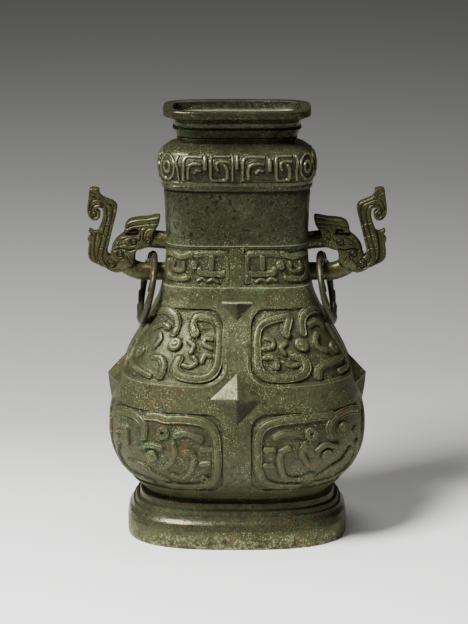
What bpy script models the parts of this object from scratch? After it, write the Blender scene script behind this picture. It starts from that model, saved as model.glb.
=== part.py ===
# Lidded hu wine vessel in cast bronze, late Western Zhou style.
# Vessel with crossing straps and wrapped dragon panels, lid with a flaring crown,
# two beast-head handles with upturned trunks, and a loose ring in each handle.
# Metres, +Z up, origin on the ground under the middle of the foot. The front faces -Y.

import bisect
import math

import bmesh
import bpy
from mathutils import Vector
from mathutils.geometry import delaunay_2d_cdt

# Heights above the ground
FOOT_BAND_TOP = 0.024
FOOT_SHOULDER = 0.036
FOOT_RING_BOTTOM = 0.049
FOOT_RING_TOP = 0.057
FOOT_JUNCTION = 0.061
LOWER_PANEL_BOTTOM = 0.078
BELLY_LEVEL = 0.146
CROSSING_LEVEL = 0.2055
UPPER_PANEL_TOP = 0.310
NECK_BAND_BOTTOM = 0.335
NECK_BAND_TOP = 0.388
NECK_WAIST = 0.405
VESSEL_HEIGHT = 0.460

# Half widths of the outside, at the sides
FOOT_HALF_WIDTH = 0.143
FOOT_RING_HALF_WIDTH = 0.127
JUNCTION_HALF_WIDTH = 0.1195
BELLY_HALF_WIDTH = 0.1665
SHOULDER_HALF_WIDTH = 0.0958
NECK_HALF_WIDTH = 0.091
RIM_HALF_WIDTH = 0.0934

# Every section is this much less deep than wide, in its half widths
FLATNESS = 0.044
BELLY_SQUARENESS = 2.8
NECK_SQUARENESS = 4.0

# Walls
WALL = 0.0045
FOOT_WALL = 0.006
FLOOR_THICKNESS = 0.0055
CONTACT_GAP = 0.0003

# Straps, panels and bosses of the vessel
STRAP_WIDTH = 0.035
PANEL_RECESS = 0.0020
PANEL_CORNER = 0.012
PYRAMID_HALF_HEIGHT = 0.0305
PYRAMID_HALF_WIDTH = 0.0335
PYRAMID_REACH = 0.015
HALF_PYRAMID_TOP = 0.319
HALF_PYRAMID_DROP = 0.023
HALF_PYRAMID_HALF_WIDTH = 0.0195
HALF_PYRAMID_REACH = 0.008
NECK_STRAP_WIDTH = 0.018
NECK_BAND_INSET = 0.0008
NECK_BORDER = 0.003
NECK_RECESS = 0.0015

# Lid: its levels are heights above the vessel's rim
LID_HEIGHT = 0.100
LID_BAND_HALF_WIDTH = 0.100
LID_SEAT_HALF_WIDTH = 0.0955
LID_BAND_RISE = 0.026
LID_SHOULDER_RISE = 0.048
LID_WAIST_RISE = 0.056
LID_WAIST_HALF_WIDTH = 0.0735
LID_RECESS = 0.0012
LID_STRAP_WIDTH = 0.006
CROWN_HALF_WIDTH = 0.0934
CROWN_LIP_WIDTH = 0.0125
CROWN_RIM_DEPTH = 0.009
FLANGE_DEPTH = 0.022
FLANGE_WALL = 0.0035
FLANGE_CLEARANCE = 0.001
LID_PLATE = 0.0045

# Handles: a loop on the neck's side, a beast's head over its outer end, an upturned trunk
HANDLE_DROP = 0.0928
HANDLE_GAP_HEIGHT = 0.0205
HANDLE_GAP_REACH = 0.037
HANDLE_BAR = 0.020
HANDLE_JAW = 0.023
HANDLE_THICKNESS = 0.018
HANDLE_ROOT = 0.010
HEAD_REACH = 0.0365
HEAD_SAG = 0.004
HEAD_RADIUS = 0.0255
HEAD_THICKNESS = 0.026
HEAD_BULGE = 0.026
TRUNK_THICKNESS = 0.015
TRUNK_WIDTH = 0.0205
TRUNK_REACH = 0.035
TRUNK_HEIGHT = 0.081
NOSE_HEIGHT = 0.014
FIN_HEIGHT = 0.041
FIN_SPIKE = 0.0073
FIN_THICKNESS = 0.006
HORN_THICKNESS = 0.021
HORN_WIDTH = 0.017
HORN_RISE = 0.014
HORN_CURL = 0.0105

# The trunk from the mouth to the end of its curl: shares of its reach, of its height and of its width
TRUNK_PATH = ((0.0, 0.0, 0.75), (0.34, 0.037, 0.83), (0.63, 0.117, 0.93), (0.70, 0.253, 1.02), (0.57, 0.40, 0.95),
              (0.47, 0.56, 0.90), (0.37, 0.735, 0.88), (0.33, 0.885, 0.93), (0.46, 0.98, 0.93), (0.73, 1.0, 0.83),
              (0.98, 0.925, 0.68), (1.05, 0.825, 0.56), (0.87, 0.775, 0.44))
TRUNK_CREST = 9
TRUNK_OUTER_BEND = 3

# Round bosses on a handle's faces: distance out from the neck, height from the handle's level, radius
HANDLE_BOSSES = ((0.0410, 0.0185, 0.0055), (0.0575, 0.002, 0.0048), (0.0225, 0.0185, 0.0048))

# Rings
RING_RADIUS = 0.0485
RING_BAND = 0.0125
RING_THICKNESS = 0.0095
RING_TURN_DEGREES = 7.0
RING_SCALES = 13
RING_PLAY = 0.0005

# Facets
COLUMNS = 32
CURVE_SAMPLES = 48
ARC_STEP = 60
BORDER_STEPS = 3
BOSS_SIDES = 6
RELIEF_SLOPE = 0.0010
FACET_MARGIN = 0.0035

# The belly above its widest level: shares of the way up to the neck band, and of the way in
UPPER_BELLY_CURVE = ((0.0, 0.0), (0.13, 0.03), (0.31, 0.175), (0.50, 0.355), (0.665, 0.60), (0.81, 0.83), (1.0, 1.0))
LOWER_BELLY_ROUND = 0.8
LOWER_BELLY_STEPS = 5

# Motifs, in shares of a panel: across from the front strap round to the side strap, and up.
# An arc has a width in metres, a centre, two radii, its start and end in degrees and its
# squareness; a boss has a radius in metres and a centre.
UPPER_MOTIF = (
    ("arc", 0.0095, (0.24, 0.485), (0.195, 0.395), (28, 338), 3.0),
    ("boss", 0.0075, (0.335, 0.68)),
    ("boss", 0.0100, (0.455, 0.515)),
    ("arc", 0.0060, (0.115, 0.50), (0.09, 0.15), (80, -80), 2.0),
    ("arc", 0.0090, (0.78, 0.66), (0.275, 0.285), (60, 182), 2.0),
    ("arc", 0.0070, (0.63, 0.22), (0.145, 0.15), (100, 285), 2.0),
    ("arc", 0.0075, (0.78, 0.48), (0.165, 0.28), (45, -50), 2.0),
)
LOWER_MOTIF = (
    ("arc", 0.0100, (0.36, 0.50), (0.325, 0.43), (66, 282), 3.0),
    ("boss", 0.0085, (0.40, 0.78)),
    ("arc", 0.0090, (0.71, 0.715), (0.20, 0.225), (28, 190), 2.0),
    ("boss", 0.0080, (0.475, 0.53)),
    ("arc", 0.0065, (0.315, 0.41), (0.115, 0.20), (140, 320), 2.0),
    ("boss", 0.0070, (0.125, 0.23)),
    ("arc", 0.0080, (0.74, 0.48), (0.18, 0.30), (38, -70), 2.0),
)
NECK_MOTIF = (
    ("arc", 0.0060, (0.36, 0.50), (0.27, 0.33), (55, 305), 3.0),
    ("boss", 0.0058, (0.47, 0.50)),
    ("arc", 0.0050, (0.80, 0.50), (0.13, 0.28), (110, 320), 2.0),
)
LID_MOTIF = (
    ("arc", 0.0055, (0.165, 0.40), (0.09, 0.36), (180, 0), 3.0),
    ("boss", 0.0045, (0.30, 0.52)),
    ("arc", 0.0050, (0.425, 0.52), (0.07, 0.28), (60, 330), 2.0),
    ("arc", 0.0055, (0.68, 0.52), (0.08, 0.30), (50, 330), 2.0),
    ("arc", 0.0050, (0.89, 0.42), (0.06, 0.32), (180, 0), 3.0),
)


def clear_scene():
    for thing in list(bpy.data.objects):
        bpy.data.objects.remove(thing, do_unlink=True)


def bronze(name, colour, roughness):
    """A Principled bronze finish for one piece."""
    material = bpy.data.materials.new(name)
    material.use_nodes = True
    shader = material.node_tree.nodes["Principled BSDF"]
    shader.inputs["Base Color"].default_value = (*colour, 1.0)
    shader.inputs["Roughness"].default_value = roughness
    shader.inputs["Metallic"].default_value = 0.35
    material.diffuse_color = (*colour, 1.0)
    return material


def add_object(name, mesh_data, material=None, cutter=False):
    """An object from a bmesh, with its faces turned outward."""
    bmesh.ops.recalc_face_normals(mesh_data, faces=mesh_data.faces)
    mesh = bpy.data.meshes.new(name)
    mesh_data.to_mesh(mesh)
    mesh_data.free()
    thing = bpy.data.objects.new(name, mesh)
    bpy.context.collection.objects.link(thing)
    if material is not None:
        mesh.materials.append(material)
    if cutter:
        thing.hide_render = True
        thing.display_type = "WIRE"
    return thing


def boolean(target, tool, operation, self_crossing=False):
    modifier = target.modifiers.new(tool.name, "BOOLEAN")
    modifier.operation = operation
    modifier.object = tool
    modifier.use_self = self_crossing
    return modifier


def interpolate(table, value):
    """Straight-line reading of a rising table of (key, value) pairs."""
    keys = [key for key, _ in table]
    index = min(max(bisect.bisect_right(keys, value), 1), len(table) - 1)
    (low_key, low), (high_key, high) = table[index - 1], table[index]
    share = (value - low_key) / (high_key - low_key)
    return low + (high - low) * min(max(share, 0.0), 1.0)


def spaced(values, share):
    """Reading of evenly spaced values at a share of the way along them."""
    place = share * (len(values) - 1)
    index = min(int(place), len(values) - 2)
    return values[index] + (values[index + 1] - values[index]) * (place - index)


# Profile of the vessel, bottom to top, as (height, half width)
def foot_profile():
    spread = FOOT_HALF_WIDTH - FOOT_RING_HALF_WIDTH
    step = 0.0012
    return [
        (0.0, FOOT_HALF_WIDTH - step / 2),
        (FOOT_BAND_TOP, FOOT_HALF_WIDTH),
        (FOOT_BAND_TOP + 0.6 * (FOOT_SHOULDER - FOOT_BAND_TOP), FOOT_HALF_WIDTH - 0.11 * spread),
        (FOOT_SHOULDER, FOOT_HALF_WIDTH - 0.32 * spread),
        (FOOT_RING_BOTTOM - step / 2, FOOT_RING_HALF_WIDTH + step),
        (FOOT_RING_BOTTOM, FOOT_RING_HALF_WIDTH),
        (FOOT_RING_TOP, FOOT_RING_HALF_WIDTH - step),
        (FOOT_JUNCTION, JUNCTION_HALF_WIDTH),
    ]


def belly_profile():
    points = []
    for step in range(1, LOWER_BELLY_STEPS + 1):
        share = step / LOWER_BELLY_STEPS
        bulge = math.sin(math.pi * share / 2) ** LOWER_BELLY_ROUND
        points.append((FOOT_JUNCTION + share * (BELLY_LEVEL - FOOT_JUNCTION),
                       JUNCTION_HALF_WIDTH + bulge * (BELLY_HALF_WIDTH - JUNCTION_HALF_WIDTH)))
    for up, inward in UPPER_BELLY_CURVE[1:]:
        points.append((BELLY_LEVEL + up * (NECK_BAND_BOTTOM - BELLY_LEVEL),
                       BELLY_HALF_WIDTH - inward * (BELLY_HALF_WIDTH - SHOULDER_HALF_WIDTH)))
    return points


def neck_profile():
    hair = 0.0004
    middle = (SHOULDER_HALF_WIDTH + NECK_HALF_WIDTH) / 2
    return [
        (NECK_BAND_BOTTOM + hair, SHOULDER_HALF_WIDTH - NECK_BAND_INSET),
        (NECK_BAND_BOTTOM + 0.35 * (NECK_BAND_TOP - NECK_BAND_BOTTOM), middle - NECK_BAND_INSET),
        (NECK_BAND_TOP - hair, NECK_HALF_WIDTH - NECK_BAND_INSET),
        (NECK_BAND_TOP, NECK_HALF_WIDTH + NECK_BAND_INSET / 2),
        (NECK_WAIST, NECK_HALF_WIDTH),
        (VESSEL_HEIGHT, RIM_HALF_WIDTH),
    ]


VESSEL_PROFILE = foot_profile() + belly_profile() + neck_profile()


def squareness(height):
    """Exponent of the section: round in the belly, squarer in the neck."""
    return interpolate([(CROSSING_LEVEL, BELLY_SQUARENESS), (NECK_BAND_BOTTOM, NECK_SQUARENESS)], height)


def lid_squareness(_height):
    return NECK_SQUARENESS


def quarter_curve(half_width, exponent):
    """A quarter of a section, from the front centre to the side, as (length run, x, depth)."""
    half_depth = half_width - FLATNESS
    curve = []
    run = 0.0
    for index in range(CURVE_SAMPLES + 1):
        angle = math.pi / 2 * index / CURVE_SAMPLES
        x = half_width * math.sin(angle) ** (2 / exponent)
        depth = half_depth * max(math.cos(angle), 0.0) ** (2 / exponent)
        if curve:
            run += math.hypot(x - curve[-1][1], depth - curve[-1][2])
        curve.append((run, x, depth))
    return curve


def along_quarter(curve, run):
    """The point of a quarter curve at a length from the front centre."""
    index = min(max(bisect.bisect_right([point[0] for point in curve], run), 1), len(curve) - 1)
    low, high = curve[index - 1], curve[index]
    share = (run - low[0]) / (high[0] - low[0])
    return low[1] + (high[1] - low[1]) * share, low[2] + (high[2] - low[2]) * share


def section_ring(height, half_width, exponent, columns):
    """A closed ring of points, spaced evenly round the section from the front centre."""
    curve = quarter_curve(half_width, exponent)
    quarter = columns // 4
    points = []
    for index in range(columns):
        side, place = divmod(index, quarter)
        run = curve[-1][0] * place / quarter
        if side % 2 == 1:
            run = curve[-1][0] - run
        x, depth = along_quarter(curve, run)
        x_sign = 1 if side in (0, 1) else -1
        y_sign = -1 if side in (0, 3) else 1
        points.append(Vector((x_sign * x, y_sign * depth, height)))
    return points


def strip(mesh_data, rings):
    """A band of faces through rings of the same number of points."""
    rows = [[mesh_data.verts.new(point) for point in ring] for ring in rings]
    for low, high in zip(rows, rows[1:]):
        for index in range(len(low)):
            after = (index + 1) % len(low)
            mesh_data.faces.new((low[index], low[after], high[after], high[index]))
    return rows


def tube(mesh_data, sections):
    """A closed tube through sections of the same number of points."""
    rows = strip(mesh_data, sections)
    mesh_data.faces.new(rows[0])
    mesh_data.faces.new(rows[-1])


def profile_strip(mesh_data, profile, exponent_at, offset=0.0):
    return strip(mesh_data, [section_ring(height, half_width + offset, exponent_at(height), COLUMNS)
                             for height, half_width in profile])


def weld(mesh_data):
    """Join the bands, patches and caps of a solid where their borders meet."""
    bmesh.ops.remove_doubles(mesh_data, verts=mesh_data.verts, dist=0.00001)


class Skin:
    """The front right quarter of a profile, as a flat map of facets with raised and lowered fields.

    On the map, X is the share of the way round from the front centre to the side centre,
    times the mean length of that quarter, and Y is the length up along the profile.
    """

    def __init__(self, profile, exponent_at):
        self.profile = profile
        self.exponent_at = exponent_at
        lengths = [0.0]
        for (low_z, low_a), (high_z, high_a) in zip(profile, profile[1:]):
            lengths.append(lengths[-1] + math.hypot(high_z - low_z, high_a - low_a))
        heights = [height for height, _ in profile]
        self.length_of = list(zip(heights, lengths))
        self.height_of = list(zip(lengths, heights))
        self.rise = lengths[-1]
        self.curves = {}
        self.width = sum(self.quarter_run(height) for height in heights) / len(heights)
        self.fields = []
        self.peaks = []

    def curve(self, height):
        key = round(height, 6)
        if key not in self.curves:
            self.curves[key] = quarter_curve(interpolate(self.profile, height), self.exponent_at(height))
        return self.curves[key]

    def quarter_run(self, height):
        return self.curve(height)[-1][0]

    def on_map(self, run, height):
        return Vector((self.width * run / self.quarter_run(height), interpolate(self.length_of, height)))

    def on_skin(self, spot):
        height = interpolate(self.height_of, spot.y)
        curve = self.curve(height)
        x, depth = along_quarter(curve, curve[-1][0] * spot.x / self.width)
        return Vector((x, -depth, height))

    def lifted(self, spot, lift):
        """A point over the map, lifted off the skin along its normal."""
        here = self.on_skin(spot)
        if abs(lift) > 0.0:
            nudge = Vector((0.001, 0.0))
            rise = Vector((0.0, 0.001))
            sideways = self.on_skin(spot + nudge) - self.on_skin(spot - nudge)
            upward = self.on_skin(spot + rise) - self.on_skin(spot - rise)
            here += sideways.cross(upward).normalized() * lift
        if spot.x <= 0.00001:
            here.x = 0.0
        if spot.x >= self.width - 0.00001:
            here.y = 0.0
        return here

    def lift_at(self, spot):
        for centre, lift in self.peaks:
            if (spot - centre).length < 0.0001:
                return lift
        for field in self.fields:
            if inside(field.floor, spot):
                on_top = any(inside(top, spot) for top in field.tops)
                return 0.0 if on_top else -field.depth
        return 0.0


class Field:
    """A panel of lowered ground between two straps, with a raised motif."""

    def __init__(self, skin, bottom, top, front_strap, side_strap, depth, corner):
        self.skin = skin
        self.depth = depth
        self.front = front_strap / 2
        self.side = side_strap / 2
        self.start = interpolate(skin.length_of, bottom)
        self.rise = interpolate(skin.length_of, top) - self.start
        self.run = skin.quarter_run((bottom + top) / 2) - self.front - self.side
        self.brink = self.border(corner, 0.0)
        self.floor = self.border(corner, RELIEF_SLOPE)
        self.tops = []
        self.feet = []
        skin.fields.append(self)

    def spot(self, across, up):
        """The place on the map of a point in the panel, given in metres from its lower front corner."""
        height = interpolate(self.skin.height_of, self.start + up)
        span = self.skin.quarter_run(height) - self.front - self.side
        return self.skin.on_map(self.front + across / self.run * span, height)

    def border(self, corner, inset):
        """The outline of the panel with rounded corners, drawn in by an inset."""
        across = self.run - 2 * inset
        up = self.rise - 2 * inset
        corners = []
        for turn, (u, v) in enumerate(((1, 0), (1, 1), (0, 1), (0, 0))):
            centre_u = inset + corner + u * (across - 2 * corner)
            centre_v = inset + corner + v * (up - 2 * corner)
            for step in range(3):
                angle = math.radians(-90 + 90 * turn + 45 * step)
                corners.append((centre_u + corner * math.cos(angle), centre_v + corner * math.sin(angle)))
        outline = []
        for index, (u, v) in enumerate(corners):
            outline.append(self.spot(u, v))
            if index % 3 == 2:
                next_u, next_v = corners[(index + 1) % len(corners)]
                for step in range(1, BORDER_STEPS):
                    share = step / BORDER_STEPS
                    outline.append(self.spot(u + (next_u - u) * share, v + (next_v - v) * share))
        return outline

    def add_motif(self, motif, turned=False):
        for piece in motif:
            kind, size, centre = piece[:3]
            for grow, store in ((RELIEF_SLOPE / 2, self.feet), (-RELIEF_SLOPE / 2, self.tops)):
                if kind == "arc":
                    shares = arc_points(centre, piece[3], *piece[4], piece[5])
                    path = [(u * self.run, v * self.rise) for u, v in shares]
                    outline = ribbon(path, size / 2 + grow, grow)
                else:
                    outline = ring_outline((centre[0] * self.run, centre[1] * self.rise), size + grow, BOSS_SIDES)
                if turned:
                    outline = [(self.run - u, v) for u, v in outline]
                store.append([self.spot(u, v) for u, v in outline])


def inside(outline, spot, slack=0.00002):
    """Whether a spot on the map lies inside an outline or on it."""
    crossings = False
    for low, high in zip(outline, outline[1:] + outline[:1]):
        along = high - low
        share = min(max((spot - low).dot(along) / max(along.length_squared, 1e-12), 0.0), 1.0)
        if (spot - low - along * share).length < slack:
            return True
        if (low.y > spot.y) != (high.y > spot.y) and spot.x < low.x + (spot.y - low.y) * along.x / along.y:
            crossings = not crossings
    return crossings


def distance_to(outline, spot):
    nearest = 1.0
    for low, high in zip(outline, outline[1:] + outline[:1]):
        along = high - low
        share = min(max((spot - low).dot(along) / max(along.length_squared, 1e-12), 0.0), 1.0)
        nearest = min(nearest, (spot - low - along * share).length)
    return nearest


def arc_points(centre, radii, start, end, square):
    """Points along an arc of a rounded box, in shares of the panel."""
    steps = max(2, round(abs(end - start) / ARC_STEP))
    points = []
    for index in range(steps + 1):
        angle = math.radians(start + (end - start) * index / steps)
        across = math.copysign(abs(math.cos(angle)) ** (2 / square), math.cos(angle))
        up = math.copysign(abs(math.sin(angle)) ** (2 / square), math.sin(angle))
        points.append((centre[0] + radii[0] * across, centre[1] + radii[1] * up))
    return points


def ribbon(path, half_width, overshoot):
    """The outline of a stroke along a path."""
    flat = [Vector(point) for point in path]
    left, right = [], []
    for index, place in enumerate(flat):
        before = flat[max(index - 1, 0)]
        after = flat[min(index + 1, len(flat) - 1)]
        along = (after - before).normalized()
        across = Vector((-along.y, along.x)) * half_width
        if index == 0:
            place = place - along * overshoot
        if index == len(flat) - 1:
            place = place + along * overshoot
        left.append(place + across)
        right.append(place - across)
    return left + right[::-1]


def ring_outline(centre, radius, sides):
    turns = [2 * math.pi * (index + 0.5) / sides for index in range(sides)]
    return [(centre[0] + radius * math.cos(turn), centre[1] + radius * math.sin(turn)) for turn in turns]


def skin_patch(mesh_data, skin, pyramids, mirror):
    """The facets of one quarter of a skin, with its fields, motifs and pyramids."""
    spots, edges = [], []

    def add_outline(outline, closed=True):
        first = len(spots)
        spots.extend(outline)
        count = len(outline)
        edges.extend((first + index, first + (index + 1) % count) for index in range(count if closed else count - 1))

    outlines = []
    for field in skin.fields:
        outlines += [field.brink, field.floor] + field.feet + field.tops
    skin.peaks = []
    for outline, peak, lift in pyramids:
        outlines.append(outline)
        skin.peaks.append((peak, lift))
        spots.append(peak)
    for outline in outlines:
        add_outline(outline)
    quarter = COLUMNS // 4
    rows = [length for length, _ in skin.height_of]
    for row, up in enumerate(rows):
        for column in range(quarter + 1):
            spot = Vector((skin.width * column / quarter, up))
            on_edge = row in (0, len(rows) - 1)
            near = min((distance_to(outline, spot) for outline in outlines), default=1.0)
            within = any(inside(outline, spot) for outline, _, _ in pyramids)
            if on_edge or (near > FACET_MARGIN and not within):
                spots.append(spot)
    scale = 1000
    result = delaunay_2d_cdt([spot * scale for spot in spots], edges, [], 0, 0.001)
    places = [Vector(point) / scale for point in result[0]]
    verts = []
    for place in places:
        point = skin.lifted(place, skin.lift_at(place))
        verts.append(mesh_data.verts.new((point.x * mirror[0], point.y * mirror[1], point.z)))
    for face in result[2]:
        mesh_data.faces.new([verts[index] for index in face])


QUADRANTS = ((1, 1), (-1, 1), (1, -1), (-1, -1))


def half_width_at(height):
    return interpolate(VESSEL_PROFILE, height)


def vessel_pyramids(skin):
    """The pointed bosses where the straps cross, and the half ones under the neck band."""
    pyramids = []
    low = CROSSING_LEVEL - PYRAMID_HALF_HEIGHT
    high = CROSSING_LEVEL + PYRAMID_HALF_HEIGHT
    run = skin.quarter_run(CROSSING_LEVEL)
    for middle, side in ((0.0, 1), (run, -1)):
        def centre_line(height):
            return skin.on_map(middle and skin.quarter_run(height), height)
        corner = skin.on_map(middle + side * PYRAMID_HALF_WIDTH, CROSSING_LEVEL)
        outline = [centre_line(low), corner, centre_line(high)]
        pyramids.append((outline, centre_line(CROSSING_LEVEL), PYRAMID_REACH))
    low = HALF_PYRAMID_TOP - HALF_PYRAMID_DROP
    outline = [skin.on_map(0.0, low), skin.on_map(HALF_PYRAMID_HALF_WIDTH, HALF_PYRAMID_TOP),
               skin.on_map(0.0, HALF_PYRAMID_TOP)]
    peak = skin.on_map(0.0, HALF_PYRAMID_TOP - HALF_PYRAMID_DROP / 7)
    pyramids.append((outline, peak, HALF_PYRAMID_REACH))
    return pyramids


def neck_inside(height):
    return interpolate([(NECK_WAIST, NECK_HALF_WIDTH - WALL), (VESSEL_HEIGHT, RIM_HALF_WIDTH - WALL)], height)


def build_vessel(material):
    mesh_data = bmesh.new()
    carved = [point for point in VESSEL_PROFILE if FOOT_JUNCTION <= point[0] <= NECK_BAND_TOP]
    skin = Skin(carved, squareness)
    half_strap = STRAP_WIDTH / 2
    lower = Field(skin, LOWER_PANEL_BOTTOM, CROSSING_LEVEL - half_strap, STRAP_WIDTH, STRAP_WIDTH, PANEL_RECESS,
                  PANEL_CORNER)
    upper = Field(skin, CROSSING_LEVEL + half_strap, UPPER_PANEL_TOP, STRAP_WIDTH, STRAP_WIDTH, PANEL_RECESS,
                  PANEL_CORNER)
    neck = Field(skin, NECK_BAND_BOTTOM + NECK_BORDER, NECK_BAND_TOP - NECK_BORDER, NECK_STRAP_WIDTH, STRAP_WIDTH,
                 NECK_RECESS, NECK_BORDER)
    lower.add_motif(LOWER_MOTIF)
    upper.add_motif(UPPER_MOTIF)
    neck.add_motif(NECK_MOTIF)
    pyramids = vessel_pyramids(skin)
    for mirror in QUADRANTS:
        skin_patch(mesh_data, skin, pyramids, mirror)

    # Foot below the carved skin, neck and rim above it
    profile_strip(mesh_data, [point for point in VESSEL_PROFILE if point[0] <= FOOT_JUNCTION], squareness)
    above = [point for point in VESSEL_PROFILE if point[0] >= NECK_BAND_TOP]

    # Over the rim and down the inside to the floor
    floor_top = FOOT_RING_TOP + FLOOR_THICKNESS
    inner = [(height, half_width - WALL) for height, half_width in belly_profile() if height > floor_top + WALL]
    inside_profile = [(VESSEL_HEIGHT, RIM_HALF_WIDTH - WALL), (NECK_WAIST, NECK_HALF_WIDTH - WALL)] + inner[::-1]
    inside_profile.append((floor_top, JUNCTION_HALF_WIDTH - 2.5 * WALL))
    rows = profile_strip(mesh_data, above + inside_profile, squareness)
    mesh_data.faces.new(rows[-1])

    # Under the foot's edge and up its hollow
    hollow = [(0.0, FOOT_HALF_WIDTH - FOOT_WALL), (FOOT_BAND_TOP, FOOT_HALF_WIDTH - FOOT_WALL),
              (FOOT_SHOULDER, FOOT_RING_HALF_WIDTH - FOOT_WALL / 3),
              (FOOT_RING_TOP, JUNCTION_HALF_WIDTH - 1.5 * FOOT_WALL)]
    rows = profile_strip(mesh_data, VESSEL_PROFILE[:1] + hollow, squareness)
    mesh_data.faces.new(rows[-1])
    weld(mesh_data)
    return add_object("vessel", mesh_data, material)


HEIGHT = VESSEL_HEIGHT + LID_HEIGHT
LID_BAND_LEVEL = VESSEL_HEIGHT + LID_BAND_RISE
LID_SHOULDER_LEVEL = VESSEL_HEIGHT + LID_SHOULDER_RISE
LID_WAIST_LEVEL = VESSEL_HEIGHT + LID_WAIST_RISE
CROWN_RIM_BOTTOM = HEIGHT - CROWN_RIM_DEPTH


def lid_outside():
    """The outside of the lid, from its seat up to the top of the crown's rim."""
    seat = VESSEL_HEIGHT + CONTACT_GAP
    band = LID_BAND_LEVEL - seat
    swell = LID_BAND_HALF_WIDTH - LID_SEAT_HALF_WIDTH
    shoulder = LID_SHOULDER_LEVEL - LID_BAND_LEVEL
    turn = LID_BAND_HALF_WIDTH - LID_WAIST_HALF_WIDTH
    crown = CROWN_RIM_BOTTOM - LID_WAIST_LEVEL
    flare = CROWN_HALF_WIDTH - LID_WAIST_HALF_WIDTH
    points = [
        (seat, LID_SEAT_HALF_WIDTH),
        (seat + 0.35 * band, LID_SEAT_HALF_WIDTH + 0.15 * swell),
        (LID_BAND_LEVEL, LID_BAND_HALF_WIDTH),
        (LID_BAND_LEVEL + 0.45 * shoulder, LID_BAND_HALF_WIDTH - 0.04 * turn),
        (LID_BAND_LEVEL + 0.80 * shoulder, LID_BAND_HALF_WIDTH - 0.18 * turn),
        (LID_SHOULDER_LEVEL, LID_BAND_HALF_WIDTH - 0.36 * turn),
        (LID_WAIST_LEVEL, LID_WAIST_HALF_WIDTH),
    ]
    for up, out in ((0.19, 0.13), (0.22, 0.05), (0.25, 0.17), (0.52, 0.38), (0.55, 0.20), (0.80, 0.42), (0.88, 0.62)):
        points.append((LID_WAIST_LEVEL + up * crown, LID_WAIST_HALF_WIDTH + out * flare))
    return points + [(CROWN_RIM_BOTTOM, CROWN_HALF_WIDTH), (HEIGHT, CROWN_HALF_WIDTH)]


def lid_inside():
    """Down the dish of the crown, as far as the plate."""
    lip = CROWN_HALF_WIDTH - CROWN_LIP_WIDTH
    plate_top = LID_WAIST_LEVEL + LID_PLATE / 3
    base = LID_WAIST_HALF_WIDTH - 1.5 * WALL
    return [(HEIGHT, lip), (plate_top + 0.55 * (HEIGHT - plate_top), base + 0.45 * (lip - base)), (plate_top, base)]


def lid_underside():
    """From the underside of the plate, down the hollow and round the flange to the seat."""
    seat = VESSEL_HEIGHT + CONTACT_GAP
    flange_outside = min(neck_inside(seat - FLANGE_DEPTH), RIM_HALF_WIDTH - WALL) - FLANGE_CLEARANCE
    flange_inside = flange_outside - FLANGE_WALL
    return [
        (LID_WAIST_LEVEL - 2 * LID_PLATE / 3, LID_WAIST_HALF_WIDTH - WALL),
        (LID_BAND_LEVEL + 0.45 * (LID_SHOULDER_LEVEL - LID_BAND_LEVEL), LID_BAND_HALF_WIDTH - WALL - LID_RECESS),
        (seat + 0.35 * (LID_BAND_LEVEL - seat), LID_SEAT_HALF_WIDTH - WALL),
        (seat, flange_inside),
        (seat - FLANGE_DEPTH, flange_inside),
        (seat - FLANGE_DEPTH, flange_outside),
        (seat, flange_outside),
    ]


def build_lid(material):
    mesh_data = bmesh.new()
    outside = lid_outside()
    seat = VESSEL_HEIGHT + CONTACT_GAP
    carved = [point for point in outside if point[0] <= LID_SHOULDER_LEVEL]
    border = LID_RECESS
    for mirror in QUADRANTS:
        skin = Skin(carved, lid_squareness)
        band = Field(skin, seat + 0.35 * (LID_BAND_LEVEL - seat), LID_SHOULDER_LEVEL - border, LID_STRAP_WIDTH,
                     LID_STRAP_WIDTH, LID_RECESS, border)
        band.add_motif(LID_MOTIF, turned=mirror[0] * mirror[1] < 0)
        skin_patch(mesh_data, skin, [], mirror)
    above = [point for point in outside if point[0] >= LID_SHOULDER_LEVEL]
    rows = profile_strip(mesh_data, above + lid_inside(), lid_squareness)
    mesh_data.faces.new(rows[-1])
    rows = profile_strip(mesh_data, lid_underside() + outside[:1], lid_squareness)
    mesh_data.faces.new(rows[0])
    weld(mesh_data)
    return add_object("lid", mesh_data, material)


def bend(centre, radii, start, end, steps):
    """Points along an arc in the plane of a handle: distance out from the neck, and height."""
    points = []
    for index in range(steps + 1):
        angle = math.radians(start + (end - start) * index / steps)
        points.append((centre[0] + radii[0] * math.cos(angle), centre[1] + radii[1] * math.sin(angle)))
    return points


def limb(mesh_data, points, widths, thicknesses, place, sides=6):
    """A limb of a handle: a tube of chamfered sections along a path in the plane of the handle."""
    sections = []
    for index, (out, up) in enumerate(points):
        share = index / (len(points) - 1)
        width = spaced(widths, share) / 2
        thickness = spaced(thicknesses, share) / 2
        before = points[max(index - 1, 0)]
        after = points[min(index + 1, len(points) - 1)]
        along = Vector((after[0] - before[0], after[1] - before[1])).normalized()
        across = Vector((-along.y, along.x))
        cut = 0.5 * min(width, thickness)
        if sides == 8:
            outline = [(width, thickness - cut), (width - cut, thickness), (cut - width, thickness),
                       (-width, thickness - cut), (-width, cut - thickness), (cut - width, -thickness),
                       (width - cut, -thickness), (width, cut - thickness)]
        elif sides == 6:
            outline = [(width, 0.0), (width - cut, thickness), (cut - width, thickness),
                       (-width, 0.0), (cut - width, -thickness), (width - cut, -thickness)]
        else:
            outline = [(width, thickness), (-width, thickness), (-width, -thickness), (width, -thickness)]
        sections.append([place(out + across.x * sideways, depth, up + across.y * sideways)
                         for sideways, depth in outline])
    tube(mesh_data, sections)


def boss(mesh_data, centre, radius, thickness, place):
    """A round boss right through a handle, standing out on both faces."""
    sides = 8
    turns = [2 * math.pi * index / sides for index in range(sides)]
    tube(mesh_data, [[place(centre[0] + radius * math.cos(turn), depth, centre[1] + radius * math.sin(turn))
                      for turn in turns] for depth in (-thickness / 2, thickness / 2)])


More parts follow.
